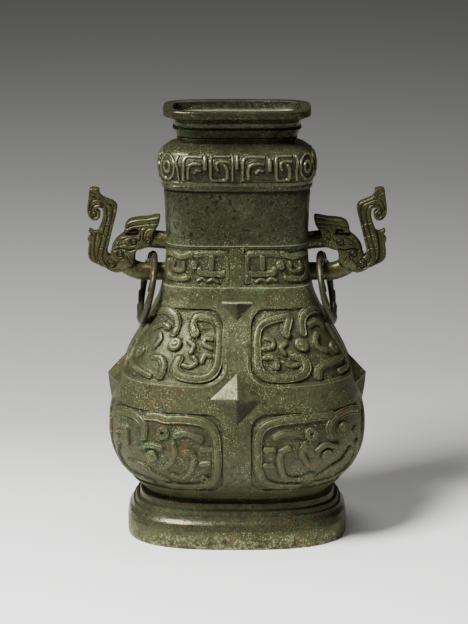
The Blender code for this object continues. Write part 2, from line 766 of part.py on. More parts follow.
def handle_level():
    return VESSEL_HEIGHT - HANDLE_DROP


def handle_loop():
    """The bar of a handle, out from the neck, round the gap and back."""
    half_gap = HANDLE_GAP_HEIGHT / 2
    top = half_gap + HANDLE_BAR / 2
    bottom = -half_gap - HANDLE_JAW / 2
    turn = (HANDLE_GAP_REACH - half_gap, (top + bottom) / 2)
    radii = (half_gap + HANDLE_BAR / 2, (top - bottom) / 2)
    return [(-HANDLE_ROOT, top)] + bend(turn, radii, 90, -90, 5) + [(-HANDLE_ROOT, bottom)]


def head_path():
    """The bulge of the head, from the forehead over the end of the loop down to the mouth."""
    return bend((HEAD_REACH, -HEAD_SAG), (HEAD_RADIUS, HEAD_RADIUS), 108, -38, 5)


def trunk_path():
    mouth = head_path()[-1]
    lift = HEAD_BULGE / 5
    return [(mouth[0] + across * TRUNK_REACH, mouth[1] + lift + up * TRUNK_HEIGHT) for across, up, _ in TRUNK_PATH]


def add_fins(limbs, place):
    """The thin fin down the outer side of the trunk, with two spikes."""
    bend_out, bend_up = trunk_path()[TRUNK_OUTER_BEND]
    foot = (bend_out + 0.54 * TRUNK_WIDTH, bend_up - 0.6 * TRUNK_WIDTH)
    path = [(foot[0] + out * FIN_SPIKE, foot[1] + up * FIN_HEIGHT)
            for out, up in ((-0.9, 1.0), (-0.2, 0.68), (0.2, 0.29), (0.0, 0.0))]
    limb(limbs, path, (1.5 * FIN_THICKNESS, 1.7 * FIN_THICKNESS, 1.2 * FIN_THICKNESS),
         (FIN_THICKNESS, FIN_THICKNESS), place, sides=4)
    for up, out in ((0.97, 0.3), (0.67, 1.0)):
        root = (foot[0] - 0.7 * FIN_SPIKE, foot[1] + (up - 0.03) * FIN_HEIGHT)
        tip = (foot[0] + out * FIN_SPIKE, foot[1] + (up + 0.05) * FIN_HEIGHT)
        limb(limbs, [root, tip], (1.4 * FIN_THICKNESS, 0.6 * FIN_THICKNESS),
             (0.9 * FIN_THICKNESS, 0.7 * FIN_THICKNESS), place, sides=4)


def add_horn(limbs, place):
    """The horn from the neck to the forehead, curled at its end, and the ear below it."""
    bar_top = HANDLE_GAP_HEIGHT / 2 + HANDLE_BAR
    crown = bar_top + HORN_RISE
    curled = bend((HANDLE_GAP_REACH + 0.14 * HORN_CURL, crown - HORN_CURL), (HORN_CURL, HORN_CURL), 95, -40, 4)
    limb(limbs, [(0.85 * HORN_CURL, crown + 0.2 * HORN_CURL)] + curled,
         (HORN_WIDTH, 0.8 * HORN_WIDTH, 0.8 * HORN_WIDTH, 0.65 * HORN_WIDTH),
         (0.95 * HORN_THICKNESS, 1.1 * HORN_THICKNESS), place)
    ear = 0.62 * HANDLE_GAP_REACH
    limb(limbs, [(1.15 * ear, crown - 0.2 * HORN_CURL), (ear, bar_top - HANDLE_BAR / 2)], (HORN_WIDTH, HORN_WIDTH),
         (HORN_THICKNESS, HORN_THICKNESS), place)


def build_handle(name, side, material, neck_shell):
    """A handle, from its loop on the neck out to the curl of its trunk."""
    level = handle_level()
    face = half_width_at(level)

    def place(out, depth, up):
        return Vector((side * (face + out), depth, level + up))

    mesh_data = bmesh.new()
    limb(mesh_data, handle_loop(), (HANDLE_BAR, HANDLE_BAR, HANDLE_JAW),
         (HANDLE_THICKNESS, 1.1 * HANDLE_THICKNESS, HANDLE_THICKNESS), place, sides=8)
    handle = add_object(name, mesh_data, material)

    limbs = bmesh.new()
    head = head_path()
    limb(limbs, head, (0.7 * HEAD_BULGE, HEAD_BULGE, HEAD_BULGE, 0.8 * HEAD_BULGE, 0.5 * HEAD_BULGE),
         (0.8 * HEAD_THICKNESS, HEAD_THICKNESS, HEAD_THICKNESS, 0.9 * HEAD_THICKNESS, 0.75 * HEAD_THICKNESS), place,
         sides=8)
    trunk = trunk_path()
    limb(limbs, trunk, [TRUNK_WIDTH * width for _, _, width in TRUNK_PATH],
         (0.75 * HEAD_THICKNESS, TRUNK_THICKNESS, TRUNK_THICKNESS, TRUNK_THICKNESS), place)
    crest = (trunk[TRUNK_CREST][0], trunk[TRUNK_CREST][1] + 0.3 * TRUNK_WIDTH)
    nose = [(crest[0] + out * NOSE_HEIGHT, crest[1] + up * NOSE_HEIGHT)
            for out, up in ((0.0, 0.0), (0.3, 0.6), (0.4, 1.1))]
    limb(limbs, nose, (1.3 * NOSE_HEIGHT, 0.9 * NOSE_HEIGHT, 0.75 * NOSE_HEIGHT),
         (0.85 * TRUNK_THICKNESS, 0.8 * TRUNK_THICKNESS), place)
    add_fins(limbs, place)
    add_horn(limbs, place)
    for out, up, radius in HANDLE_BOSSES:
        boss(limbs, (out, up), radius, HEAD_THICKNESS + 0.003, place)
    lip = (head[-1][0] + 0.45 * HEAD_RADIUS, head[-1][1] + 0.28 * HEAD_RADIUS)
    boss(limbs, lip, 0.27 * HEAD_RADIUS, 0.85 * HEAD_THICKNESS, place)
    boolean(handle, add_object(name + "_limbs", limbs, cutter=True), "UNION", self_crossing=True)
    boolean(handle, neck_shell, "DIFFERENCE")
    return handle


def ring_frame(tilt):
    """The centre of a ring that hangs on the lower bar, and its directions across, up and out."""
    turn = math.radians(RING_TURN_DEGREES)
    across = Vector((math.sin(turn), math.cos(turn), 0.0))
    away = Vector((math.cos(turn), -math.sin(turn), 0.0))
    upward = away * -math.sin(tilt) + Vector((0.0, 0.0, math.cos(tilt)))
    outward = away * math.cos(tilt) + Vector((0.0, 0.0, math.sin(tilt)))
    level = handle_level()
    hang = Vector((half_width_at(level) + 0.45 * HANDLE_GAP_REACH, 0.0, level - HANDLE_GAP_HEIGHT / 2 + RING_PLAY))
    inner_radius = (RING_RADIUS - RING_BAND) * math.cos(math.pi / RING_SCALES)
    return hang - upward * inner_radius, across, upward, outward


def ring_sections(tilt):
    """Sections round a ring of overlapping scales on the +X side."""
    centre, across, upward, outward = ring_frame(tilt)
    middle_radius = RING_RADIUS - RING_BAND / 2
    sections = []
    for scale in range(RING_SCALES):
        for start, swell in ((0.04, 1.0), (0.96, 0.78)):
            angle = 2 * math.pi * (scale + start - 0.5) / RING_SCALES
            radial = across * math.sin(angle) + upward * math.cos(angle)
            band = RING_BAND * (0.82 + 0.18 * swell)
            thick = RING_THICKNESS * swell
            sections.append([centre + radial * (middle_radius + along * band) + outward * out * thick
                             for along, out in ((-0.5, -0.25), (-0.5, 0.25), (0.0, 0.5), (0.5, 0.25), (0.5, -0.25),
                                                (0.0, -0.5))])
    return sections


def clear_of_vessel(point):
    """How far a point stands outside the vessel's skin, along X."""
    half_width = half_width_at(point.z)
    half_depth = half_width - FLATNESS
    exponent = squareness(point.z)
    share = min(abs(point.y) / half_depth, 1.0)
    return point.x - half_width * (1 - share ** exponent) ** (1 / exponent)


def ring_tilt():
    """The tilt at which a hanging ring just leans on the vessel."""
    low, high = 0.0, math.radians(60)
    for _ in range(24):
        tilt = (low + high) / 2
        points = [point for section in ring_sections(tilt) for point in section]
        if min(clear_of_vessel(point) for point in points) > 2 * CONTACT_GAP:
            high = tilt
        else:
            low = tilt
    return high


def build_ring(name, side, material):
    mesh_data = bmesh.new()
    sections = [[Vector((side * point.x, point.y, point.z)) for point in section]
                for section in ring_sections(ring_tilt())]
    strip(mesh_data, sections + sections[:1])
    weld(mesh_data)
    return add_object(name, mesh_data, material)


def build_neck_shell():
    """The outside of the vessel with the contact gap added, which trims the handles."""
    low = half_width_at(UPPER_PANEL_TOP)
    profile = [(UPPER_PANEL_TOP, low)] + [point for point in VESSEL_PROFILE if point[0] > UPPER_PANEL_TOP]
    mesh_data = bmesh.new()
    rows = profile_strip(mesh_data, profile, squareness, CONTACT_GAP)
    mesh_data.faces.new(rows[0])
    mesh_data.faces.new(rows[-1])
    return add_object("neck_shell", mesh_data, cutter=True)


def shade(thing):
    thing.data.shade_smooth()
    thing.data.set_sharp_from_angle(angle=math.radians(32))


def main():
    clear_scene()
    vessel_bronze = bronze("vessel_bronze", (0.125, 0.13, 0.085), 0.5)
    lid_bronze = bronze("lid_bronze", (0.085, 0.085, 0.06), 0.45)
    handle_bronze = bronze("handle_bronze", (0.135, 0.12, 0.065), 0.5)
    ring_bronze = bronze("ring_bronze", (0.10, 0.095, 0.07), 0.55)
    build_vessel(vessel_bronze)
    build_lid(lid_bronze)
    neck_shell = build_neck_shell()
    for side_name, side in (("left", -1), ("right", 1)):
        build_handle(side_name + "_handle", side, handle_bronze, neck_shell)
        build_ring(side_name + "_ring", side, ring_bronze)
    for thing in bpy.data.objects:
        shade(thing)


main()
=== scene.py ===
# Looks for the lidded hu wine vessel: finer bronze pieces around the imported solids, patina, light and camera.
# Metres, +Z up, the front faces -Y. Sizes repeat those of the part's source.

import math

import bmesh
import bpy
import numpy as np
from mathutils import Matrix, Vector


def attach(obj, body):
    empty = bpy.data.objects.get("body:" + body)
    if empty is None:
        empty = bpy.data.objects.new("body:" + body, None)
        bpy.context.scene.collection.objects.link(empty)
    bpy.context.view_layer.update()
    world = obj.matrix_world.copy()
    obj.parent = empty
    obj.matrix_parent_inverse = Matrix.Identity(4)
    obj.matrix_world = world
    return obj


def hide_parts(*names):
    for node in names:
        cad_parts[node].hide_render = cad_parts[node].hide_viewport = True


MM = 0.001

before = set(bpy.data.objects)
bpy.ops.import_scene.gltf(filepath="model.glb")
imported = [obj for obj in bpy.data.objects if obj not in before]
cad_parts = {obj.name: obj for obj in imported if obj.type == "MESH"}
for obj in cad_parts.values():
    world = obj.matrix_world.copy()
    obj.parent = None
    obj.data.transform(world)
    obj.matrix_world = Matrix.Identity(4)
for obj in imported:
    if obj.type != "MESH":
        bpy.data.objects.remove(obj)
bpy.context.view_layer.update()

# Heights above the ground
GROUND_EDGE = 0.004
FOOT_BAND_TOP = 0.024
FOOT_SHOULDER = 0.0366
FOOT_JUNCTION = 0.061
LOWER_PANEL_BOTTOM = 0.078
CROSSING_LEVEL = 0.2055
HALF_STRAP = 0.0175
LOWER_PANEL_TOP = CROSSING_LEVEL - HALF_STRAP
UPPER_PANEL_BOTTOM = CROSSING_LEVEL + HALF_STRAP
UPPER_PANEL_TOP = 0.310
NECK_BAND_BOTTOM = 0.335
NECK_BAND_TOP = 0.388
NECK_WAIST = 0.405
VESSEL_HEIGHT = 0.460
LID_BAND_BOTTOM = 0.4735
LID_BAND_TOP = 0.5065
LID_SHOULDER_TOP = 0.5145
HEIGHT = 0.560

# Section: its half width less its half depth, and the exponents of its rounded rectangle
FLATNESS = 0.044
BELLY_SQUARENESS = 2.8
NECK_SQUARENESS = 4.0
WALL = 0.0045

# Panels
PANEL_RECESS = 0.0028
UPPER_PANEL_CORNER = 0.024
LOWER_PANEL_CORNER = 0.021
PANEL_MARGIN = 6 * MM
BORDER_LINE = 0.0036
BORDER_WIDTH = 0.8 * MM
WORN_RIDGE = 0.45 * MM
RIM_INSET = 1.2 * MM
RIM_WIDTH = 0.9 * MM
NECK_HALF_STRAP = 0.0085
NECK_RECESS = 0.0022
NECK_BORDER = 3 * MM
NECK_PANEL_BOTTOM = NECK_BAND_BOTTOM + NECK_BORDER
NECK_PANEL_TOP = NECK_BAND_TOP - NECK_BORDER

# Marks of the relief: broad strokes have a line cut along each edge, and narrow ones are more rounded
STROKE_EDGE = 1.2 * MM
EDGE_RISE = {"stroke": (-0.4, 1.0), "ball": (0.0, 1.0), "ring": (-0.4, 0.8)}
BROAD_STROKE = 8.0 * MM
BROAD_SWELL = 0.20 * MM
NARROW_SWELL = 0.45 * MM
CUT_PLACE = 0.60
CUT_WIDTH = 0.65 * MM
CUT_DEPTH = 1.0 * MM
BALL_SWELL = 0.28
BALL_CUT_PLACE = 0.42
BALL_CUT_WIDTH = 0.10
RING_MIDDLE = 1.5
SEAM_PLACE = 0.3 * MM
SEAM_WIDTH = 0.9 * MM

# Pointed bosses at the crossings, and half bosses under the neck
PYRAMID_HALF_HEIGHT = 0.0305
PYRAMID_HALF_WIDTH = 0.0335
PYRAMID_REACH = 0.0145
HALF_PYRAMID_TOP = 0.319
HALF_PYRAMID_DROP = 0.023
HALF_PYRAMID_HALF_WIDTH = 0.0195
HALF_PYRAMID_REACH = 0.008
HALF_PYRAMID_LEDGE = HALF_PYRAMID_DROP / 7
CREASE_ANGLE = 13

# Grids
VESSEL_STRAP_COLUMNS = 20
VESSEL_PANEL_COLUMNS = 216
LID_QUARTER_COLUMNS = 230
VESSEL_TRIANGLES = 192000
LID_TRIANGLES = 185000
SHARP_ANGLE = 40
VESSEL_WOBBLE = 0.20 * MM
LID_WOBBLE = 0.15 * MM


def pairs(text):
    """Points from a text of pairs of numbers."""
    return np.array([[float(value) for value in word.split(",")] for word in text.split()])


def drawing(text):
    """The marks of a drawing, one to a line: what it is or how wide, a size, then points."""
    for line in text.strip().splitlines():
        first, second, points = line.split(maxsplit=2)
        yield first, float(second), pairs(points)


# Outside of the vessel and lid, bottom to top, and inside of the crown: height and half width in millimetres
FOOT_PROFILE = pairs("""
    0,142.4 2,143 24,143 24.6,142.6 31,141.6 33,140.6 35.6,138.3 36.4,137.4 42,135.7 42.8,133.5 48.2,131.7
    49,129.6 49.6,127.4 53,126.8 56.6,125.8 57.8,122.2 61,119.5
""")
BELLY_PROFILE = pairs("""
    61,119.5 66,124 74,133 83,142 92,149.4 103,156 114,160.7 128,164.8 142,166.4 156,166.1 170,164.3
    185,160.5 205.5,154 225,147.3 240,141 256,132.5 272,123.2 286,115 300,107.5 312,102 324,98.2 335,95.8
""")
NECK_PROFILE = pairs("""
    335,95.8 335.6,95 350,93 365,91.5 387.3,90.2 388.3,91.5 390.5,91.4 392,91 405,91 430,92 457.9,93.4
    458.3,91.8 459.9,91.8
""")
LID_PROFILE = pairs("""
    460.3,95 460.9,95.5 465.5,96 466.2,95.6 467,96.2 471.5,97.4 472.1,97.1 472.8,97.8 477,99 482,100
    488,100.2 494,99.7 500,97.4 505,94 509,89.5 512,85 514.2,79.5 515.2,75.5 516.4,73.4 519,74.2 522.6,76.4
    523.2,75.2 523.9,74.6 524.8,76.6 530,78.8 534.6,81.4 535.2,80.4 536.2,78.4 537.6,78.8 544,82 548,86.6
    550.6,92.4 551.6,93.3 559.2,93.4 560,92.8
""")
CROWN_INSIDE = pairs("""
    559.98,81.6 559,80.6 550.5,80.2 548.5,79 545,74.6 542.5,70.8 540,69.6 522,67 518,65.5
""")


def smooth(values, low, high):
    """A soft step from 0 at low to 1 at high."""
    share = np.clip((values - low) / (high - low), 0.0, 1.0)
    return share * share * (3 - 2 * share)


def hump(offset, width):
    """A rounded peak of height 1 where the offset is 0."""
    return np.exp(-(offset / width) ** 2)


def profile_value(table, heights, rounded=True):
    """Half widths in metres at heights in metres, rounded between the table's points or straight."""
    keys, values = table.T * MM
    if not rounded:
        return np.interp(heights, keys, values)
    slopes = np.diff(values) / np.diff(keys)
    tangents = np.concatenate([slopes[:1], (slopes[:-1] + slopes[1:]) / 2, slopes[-1:]])
    flat = slopes[:-1] * slopes[1:] <= 0
    tangents[1:-1][flat] = 0
    index = np.clip(np.searchsorted(keys, heights, side="right") - 1, 0, len(keys) - 2)
    step = keys[index + 1] - keys[index]
    t = np.clip((heights - keys[index]) / step, 0, 1)
    return ((2 * t ** 3 - 3 * t ** 2 + 1) * values[index] + (t ** 3 - 2 * t ** 2 + t) * step * tangents[index]
            + (3 * t ** 2 - 2 * t ** 3) * values[index + 1] + (t ** 3 - t ** 2) * step * tangents[index + 1])


def vessel_half_width(heights):
    """Half widths of the vessel's outside: straight steps on foot and neck, and a rounded belly."""
    foot = profile_value(FOOT_PROFILE, heights, rounded=False)
    belly = profile_value(BELLY_PROFILE, heights)
    neck = profile_value(NECK_PROFILE, heights, rounded=False)
    return np.where(heights < FOOT_JUNCTION, foot, np.where(heights < NECK_BAND_BOTTOM, belly, neck))


def vessel_squareness(heights):
    """Exponents of the vessel's sections, squarer from the belly up to the neck."""
    share = np.clip((heights - CROSSING_LEVEL) / (NECK_BAND_BOTTOM - CROSSING_LEVEL), 0, 1)
    return BELLY_SQUARENESS + share * (NECK_SQUARENESS - BELLY_SQUARENESS)


def quarter_section(half_width, exponent, samples=241):
    """Lengths, x and depths along a quarter of a section, from the front centre to the side."""
    angle = np.linspace(0, math.pi / 2, samples)
    half_depth = half_width - FLATNESS
    x = half_width * np.sin(angle) ** (2 / exponent)
    depth = half_depth * np.maximum(np.cos(angle), 0) ** (2 / exponent)
    steps = np.hypot(np.diff(x), np.diff(depth))
    return np.concatenate([[0], np.cumsum(steps)]), x, depth


class Shell:
    """A skin round the axis on a grid of rows and columns.

    For each point it knows the run from the front or back centre line (run), the length of
    its quarter (whole), the height, and which quarter it is in. The marks are for the patina and
    for painted light and shade: the relief mark is -1 in hollows and where shade is painted, up to 1
    on high places, and more where they are worn pale or a highlight is painted; the dirt mark is
    the dark of seams and of painted shade; and bare is dark metal, or where it is below 0 a crust.
    """

    def __init__(self, heights, half_widths, exponents, quarter_runs):
        rows, self.run, self.whole = [], [], []
        exponents = np.broadcast_to(exponents, len(heights))
        for height, half_width, exponent in zip(heights, half_widths, exponents):
            length, x, depth = quarter_section(half_width, exponent)
            runs = quarter_runs(height, length[-1])
            quarter_x = np.interp(runs, length, x)
            quarter_y = np.interp(runs, length, depth)
            front_right = np.stack([quarter_x, -quarter_y], 1)
            back_right = np.stack([quarter_x, quarter_y], 1)[::-1]
            back_left = np.stack([-quarter_x, quarter_y], 1)
            front_left = np.stack([-quarter_x, -quarter_y], 1)[::-1]
            ring = np.concatenate([front_right[:-1], back_right[:-1], back_left[:-1], front_left[:-1]])
            rows.append(np.column_stack([ring, np.full(len(ring), height)]))
            self.run.append(np.concatenate([runs[:-1], runs[::-1][:-1], runs[:-1], runs[::-1][:-1]]))
            self.whole.append(np.full(len(ring), length[-1]))
        self.points = np.array(rows)
        self.run = np.array(self.run)
        self.whole = np.array(self.whole)
        self.height = self.points[:, :, 2]
        columns = self.points.shape[1]
        self.quarter = np.broadcast_to(np.arange(columns) // (columns // 4), self.run.shape)
        self.lift, self.relief, self.dirt, self.bare = np.zeros((4, *self.run.shape))
        along = np.gradient(self.points, axis=0)
        before = np.roll(self.points, 1, axis=1)
        after = np.roll(self.points, -1, axis=1)
        normal = np.cross(after - before, along)
        self.normal = normal / np.maximum(np.linalg.norm(normal, axis=2, keepdims=True), 1e-12)
        length = np.linalg.norm(np.diff(self.points[:, 0], axis=0), axis=1)
        self.rise = np.concatenate([[0], np.cumsum(length)])[:, None] + 0 * self.run

    def row(self, height):
        """The row nearest to a height."""
        return int(np.argmin(np.abs(self.height[:, 0] - height)))

    def settle(self):
        """Move the points out by their lift."""
        self.points = self.points + self.normal * self.lift[:, :, None]


def hidden_shell(heights, half_widths, exponents, quarter_runs, dirt):
    """A plain shell where little light falls, darkened by painted shade."""
    shell = Shell(heights, half_widths, exponents, quarter_runs)
    shell.relief -= 0.6
    shell.dirt += dirt
    return shell


def grid_faces(rows, columns):
    """Faces of a grid whose last row and column join its first."""
    index = np.arange(rows * columns).reshape(rows, columns)
    above = np.roll(index, -1, axis=0)
    corners = (index, np.roll(index, -1, axis=1), np.roll(above, -1, axis=1), above)
    return np.stack(corners, 2).reshape(-1, 4)


def apply_modifiers(thing):
    """Give a piece the mesh that its modifiers make."""
    shaped = thing.evaluated_get(bpy.context.evaluated_depsgraph_get())
    applied = bpy.data.meshes.new_from_object(shaped)
    before = thing.data
    thing.modifiers.clear()
    thing.data = applied
    bpy.data.meshes.remove(before)
    applied.name = thing.name


def make_mesh(name, points, faces, material, marks, sharp, triangles=None):
    """A mesh piece; with a triangle count it is thinned out where it is flattest."""
    mesh = bpy.data.meshes.new(name)
    mesh.from_pydata(np.asarray(points).reshape(-1, 3).tolist(), [], faces)
    mesh.update()
    bm = bmesh.new()
    bm.from_mesh(mesh)
    bmesh.ops.recalc_face_normals(bm, faces=bm.faces)
    bm.to_mesh(mesh)
    bm.free()
    for key, values in marks.items():
        layer = mesh.attributes.new(key, "FLOAT", "POINT")
        layer.data.foreach_set("value", np.asarray(values, np.float32).ravel())
    thing = bpy.data.objects.new(name, mesh)
    bpy.context.scene.collection.objects.link(thing)
    mesh.materials.append(material)
    if triangles is not None:
        count = sum(len(polygon.vertices) - 2 for polygon in mesh.polygons)
        thing.modifiers.new("thin", "DECIMATE").ratio = min(triangles / count, 1.0)
        apply_modifiers(thing)
    thing.data.shade_smooth()
    thing.data.set_sharp_from_angle(angle=math.radians(sharp))
    return thing


def make_closed(name, shells, keys, material, triangles):
    """A closed piece from shells that follow each other, with a face over its first and last rows."""
    points = np.concatenate([shell.points for shell in shells])
    rows, columns = points.shape[:2]
    faces = grid_faces(rows, columns)[:-columns].tolist()
    faces += [list(range(columns)), list(range((rows - 1) * columns, rows * columns))]
    marks = {key: np.concatenate([getattr(shell, key) for shell in shells]) for key in keys}
    return make_mesh(name, points, faces, material, marks, SHARP_ANGLE, triangles)


# Strokes of the relief

def curve(points, steps):
    """Points of a smooth curve through all but the first and the last of the points, as Catmull-Rom."""
    rows = []
    for a, b, c, d in zip(points, points[1:], points[2:], points[3:]):
        for step in range(steps):
            t = step / steps
            rows.append(0.5 * (2 * b + (c - a) * t + (2 * a - 5 * b + 4 * c - d) * t ** 2
                               + (3 * b - a - 3 * c + d) * t ** 3))
    return rows


def rounded_path(points, steps=6):
    """A smooth open path through points."""
    path = list(np.asarray(points, float))
    if len(path) < 3:
        return np.array(path)
    padded = [2 * path[0] - path[1]] + path + [2 * path[-1] - path[-2]]
    return np.array(curve(padded, steps) + [path[-1]])


def closed_outline(points, steps=4):
    """A smooth closed outline through points."""
    path = list(points)
    return np.array(curve(path[-1:] + path + path[:2], steps))


def distance_to_path(spots, path):
    """Distance of each spot to a path of straight pieces."""
    best = np.full(len(spots), np.inf)
    for low, high in zip(path[:-1], path[1:]):
        along = high - low
        share = np.clip(((spots - low) @ along) / max(along @ along, 1e-12), 0, 1)
        best = np.minimum(best, np.linalg.norm(spots - low - share[:, None] * along, axis=1))
    return best


def carve(spots, motif, scale):
    """Raised share, fine detail in metres and dirt of a motif, at spots in metres on a panel."""
    raised, detail, dirt, cuts = np.zeros((4, len(spots)))
    for kind, width, hundredths in drawing(motif):
        size = width * MM
        shares = hundredths / 100
        if kind == "stroke":
            distance = distance_to_path(spots, rounded_path(shares) * scale)
            gap = distance - size / 2
        else:
            distance = np.linalg.norm(spots - shares[0] * scale, axis=1)
            gap = distance - size if kind == "ball" else np.abs(distance - RING_MIDDLE * size) - size
        low, high = EDGE_RISE[kind]
        body = smooth(-gap, low * STROKE_EDGE, high * STROKE_EDGE)
        raised = np.maximum(raised, body)
        if kind == "stroke":
            crown = np.clip(1 - (distance / (size / 2)) ** 2, 0, 1)
            broad = size > BROAD_STROKE
            detail = np.maximum(detail, body * crown * (BROAD_SWELL if broad else NARROW_SWELL))
            if broad:
                cuts = np.maximum(cuts, body * hump(distance - CUT_PLACE * (size / 2), CUT_WIDTH))
        elif kind == "ball":
            dome = np.sqrt(np.clip(1 - (distance / size) ** 2, 0, 1))
            detail = np.maximum(detail, dome * BALL_SWELL * size)
            cuts = np.maximum(cuts, 0.7 * hump(distance / size - BALL_CUT_PLACE, BALL_CUT_WIDTH))
        dirt = np.maximum(dirt, hump(gap - SEAM_PLACE, SEAM_WIDTH))
    dirt = np.maximum(dirt * (1 - 0.8 * smooth(raised, 0.6, 1.0)), 0.7 * cuts)
    return raised, detail - cuts * CUT_DEPTH, dirt


# Motifs of a quarter, from the front centre to the side. A stroke has its width, a ball its radius and a ring
# half the width of its line, in millimetres. Points are hundredths of the panel's width and height.
UPPER_RIGHT = """
stroke 12.8 34,70 39,81 42,90 33,89 19,85 9,77 5,60 5,43 5,27 9,13 20,8 32,9 40,14 43,23 42,33 36,37
ball 7 34,67
stroke 6.8 14,61 20,58 19,50 11,47
stroke 6.8 11,35 18,36 21,31 20,22
stroke 6.8 31,54 26,48 28,40
ball 9.5 45,51
stroke 6.3 26,29 31,24 38,26
stroke 12.8 94,90 82,95 71,96 60,90 54,80 51,68
stroke 8.5 80,72 73,80 62,77
ring 3.2 79,40
stroke 8 65,63 60,55 60,45 66,40
stroke 9.2 50,6 52,15 58,21 70,23 84,22
stroke 8 94,66 92,48 95,30 90,10 72,8
"""
UPPER_LEFT = """
stroke 12.8 29,71 32,80 31,89 21,90 10,86 5,76 4,62 4,43 5,25 10,12 20,8 32,12 37,22 36,33
ball 7 27,68
stroke 6.8 10,60 16,61 17,54 10,48
stroke 6.8 10,38 15,39 17,30
stroke 6.8 31,57 26,51 27,43
ball 9.5 43,52
stroke 6.3 31,25 26,23 21,29 24,36
stroke 12.8 80,93 70,96 61,94 52,87 48,77 48,68
stroke 8.5 72,70 64,77 56,74
stroke 8 62,63 59,56 61,47
ring 3.2 75,36
stroke 9.2 57,33 50,31 46,20 47,8
stroke 8.5 84,17 68,12 56,7
stroke 8 93,80 90,60 93,38 90,14
"""
LOWER_LEFT = """
stroke 13.3 50,94 43,95 37,93 26,94 15,92 8,86 5,76 4,60 4,40 6,22 12,12 26,8 42,8
stroke 9.7 30,76 25,79 20,77 14,73
ring 3.6 38,77
stroke 12.3 84,86 75,92 65,93 56,90 51,82 51,71
stroke 8.5 72,78 65,75 64,60
stroke 8 54,57 47,62 39,60
ball 8.5 45.5,50
stroke 8.5 31,66 30,56 33,45 38,36
stroke 9.2 23.5,56 19,55 19,43 22,31 28,23 34,26
stroke 7.3 13,61 8,61
stroke 7.3 14,43 9,44
ring 2.6 13,22
stroke 8.5 40,18 47,24 55,34 66,36
stroke 9.2 55,10 66,14 78,22 80,40 75,52
stroke 8.5 93,78 89,60 92,40 90,18
ball 5 75,66
"""
LOWER_RIGHT = """
stroke 13.3 53,94 44,95 32,94 21,93 11,89 6,82 4,70 4,51 5,34 10,17 21,9 36,7
stroke 9.7 15,74 20,78 26,78 31,76
ring 3.6 38,76
stroke 12.3 80,90 70,94 61,93 54,88 51,80 52,70
ball 6.5 61,79
stroke 8 42,57 47,62 55,59
ball 8.5 49,50
stroke 8.5 34,66 32,54 36,42
stroke 9.2 23,61 18,55 19,38 24,23 34,20 41,26
stroke 7.3 9,61 14,61
stroke 7.3 9,42 14,41
stroke 8.5 48,22 55,32 63,38 68,50
stroke 9.2 48,9 62,11 76,20 80,38 76,55
stroke 8.5 93,80 89,62 92,42 90,18
ball 5 74,70
"""
NECK_MOTIF = """
stroke 8.5 46,84 38,87 12,88 5,80 3.5,60 3.5,12
stroke 8 24.5,84 24.5,48
stroke 8 5,34 14,31 36,33 40,42
stroke 4.2 41,14 35,20 29,12 22,18 15,10
ball 6.3 48,54
stroke 8 51,86 58,80 66,76 80,82 96,78
stroke 5.3 61,60 61,42 70,37 76,46 75,60
stroke 7 88,60 87,35 80,18 64,16 54,20
"""


def strap_runs(height, whole):
    """Column places along a quarter: in the front strap, over the panel and in the side strap."""
    share = smooth(height, UPPER_PANEL_TOP + 0.006, NECK_BAND_BOTTOM)
    share *= 1 - smooth(height, NECK_BAND_TOP, NECK_WAIST)
    front = HALF_STRAP + share * (NECK_HALF_STRAP - HALF_STRAP)
    side = whole - HALF_STRAP
    return np.concatenate([np.linspace(0, front, VESSEL_STRAP_COLUMNS + 1),
                           np.linspace(front, side, VESSEL_PANEL_COLUMNS + 1)[1:],
                           np.linspace(side, whole, VESSEL_STRAP_COLUMNS + 1)[1:]])


def even_runs(_height, whole):
    """Evenly spread column places along a quarter."""
    return np.linspace(0, whole, LID_QUARTER_COLUMNS + 1)


def row_heights(table, spans, singles):
    """Sorted heights of a profile's points, of spans that are parted evenly, and of single rows."""
    heights = (table[:, 0] * MM).tolist() + list(singles)
    for low, high, count in spans:
        heights += list(np.linspace(low, high, count + 1)[:-1])
    return np.array(sorted(set(round(height, 6) for height in heights)))


def panel_inside(across, up, width, rise, corner):
    """How far inside a rounded panel each point lies."""
    u = np.abs(across - width / 2) - (width / 2 - corner)
    v = np.abs(up - rise / 2) - (rise / 2 - corner)
    outside = np.hypot(np.maximum(u, 0), np.maximum(v, 0)) + np.minimum(np.maximum(u, v), 0) - corner
    return -outside


def add_panel(shell, ends, front, depth, corner, motifs, wear_and_highlight):
    """Lower a panel in each quarter of a shell, raise its motif, and raise a worn ridge round its lower border
    with a painted highlight on it.
    """
    base, top = (shell.rise[shell.row(height), 0] for height in ends)
    rise = top - base
    around = shell.rise[:, 0]
    block = slice(*np.searchsorted(around, (base - PANEL_MARGIN, base + rise + PANEL_MARGIN)))
    spans = shell.whole[block] - front - HALF_STRAP
    width = float(spans.mean())
    across = (shell.run[block] - front) / spans * width
    up = shell.rise[block] - base
    within = panel_inside(across, up, width, rise, corner)
    for quarter, motif in enumerate(motifs):
        chosen = (shell.quarter[block] == quarter) & (within > -2 * BORDER_LINE)
        inset = within[chosen]
        spots = np.stack([across[chosen], up[chosen]], 1)
        raised, detail, dirt = carve(spots, motif, np.array([width, rise]))
        floor = smooth(inset, -0.2 * MM, STROKE_EDGE * 0.9)
        shell.lift[block][chosen] += -depth * floor * (1 - raised) + detail * floor
        rim = hump(inset - RIM_INSET, RIM_WIDTH)
        shell.dirt[block][chosen] = np.maximum(dirt * floor, 0.9 * rim)
        cover = floor * (1 - raised)
        lower = 1 - smooth(up[chosen] / rise, 0.25, 0.55)
        # A ridge round the panel's lower border, made pale as a painted highlight where the border faces up
        # into the light
        border = hump(inset + BORDER_LINE, BORDER_WIDTH) * lower * wear_and_highlight
        shell.lift[block][chosen] += WORN_RIDGE * border
        shell.relief[block][chosen] = -cover + 0.6 * raised * floor + 1.35 * border


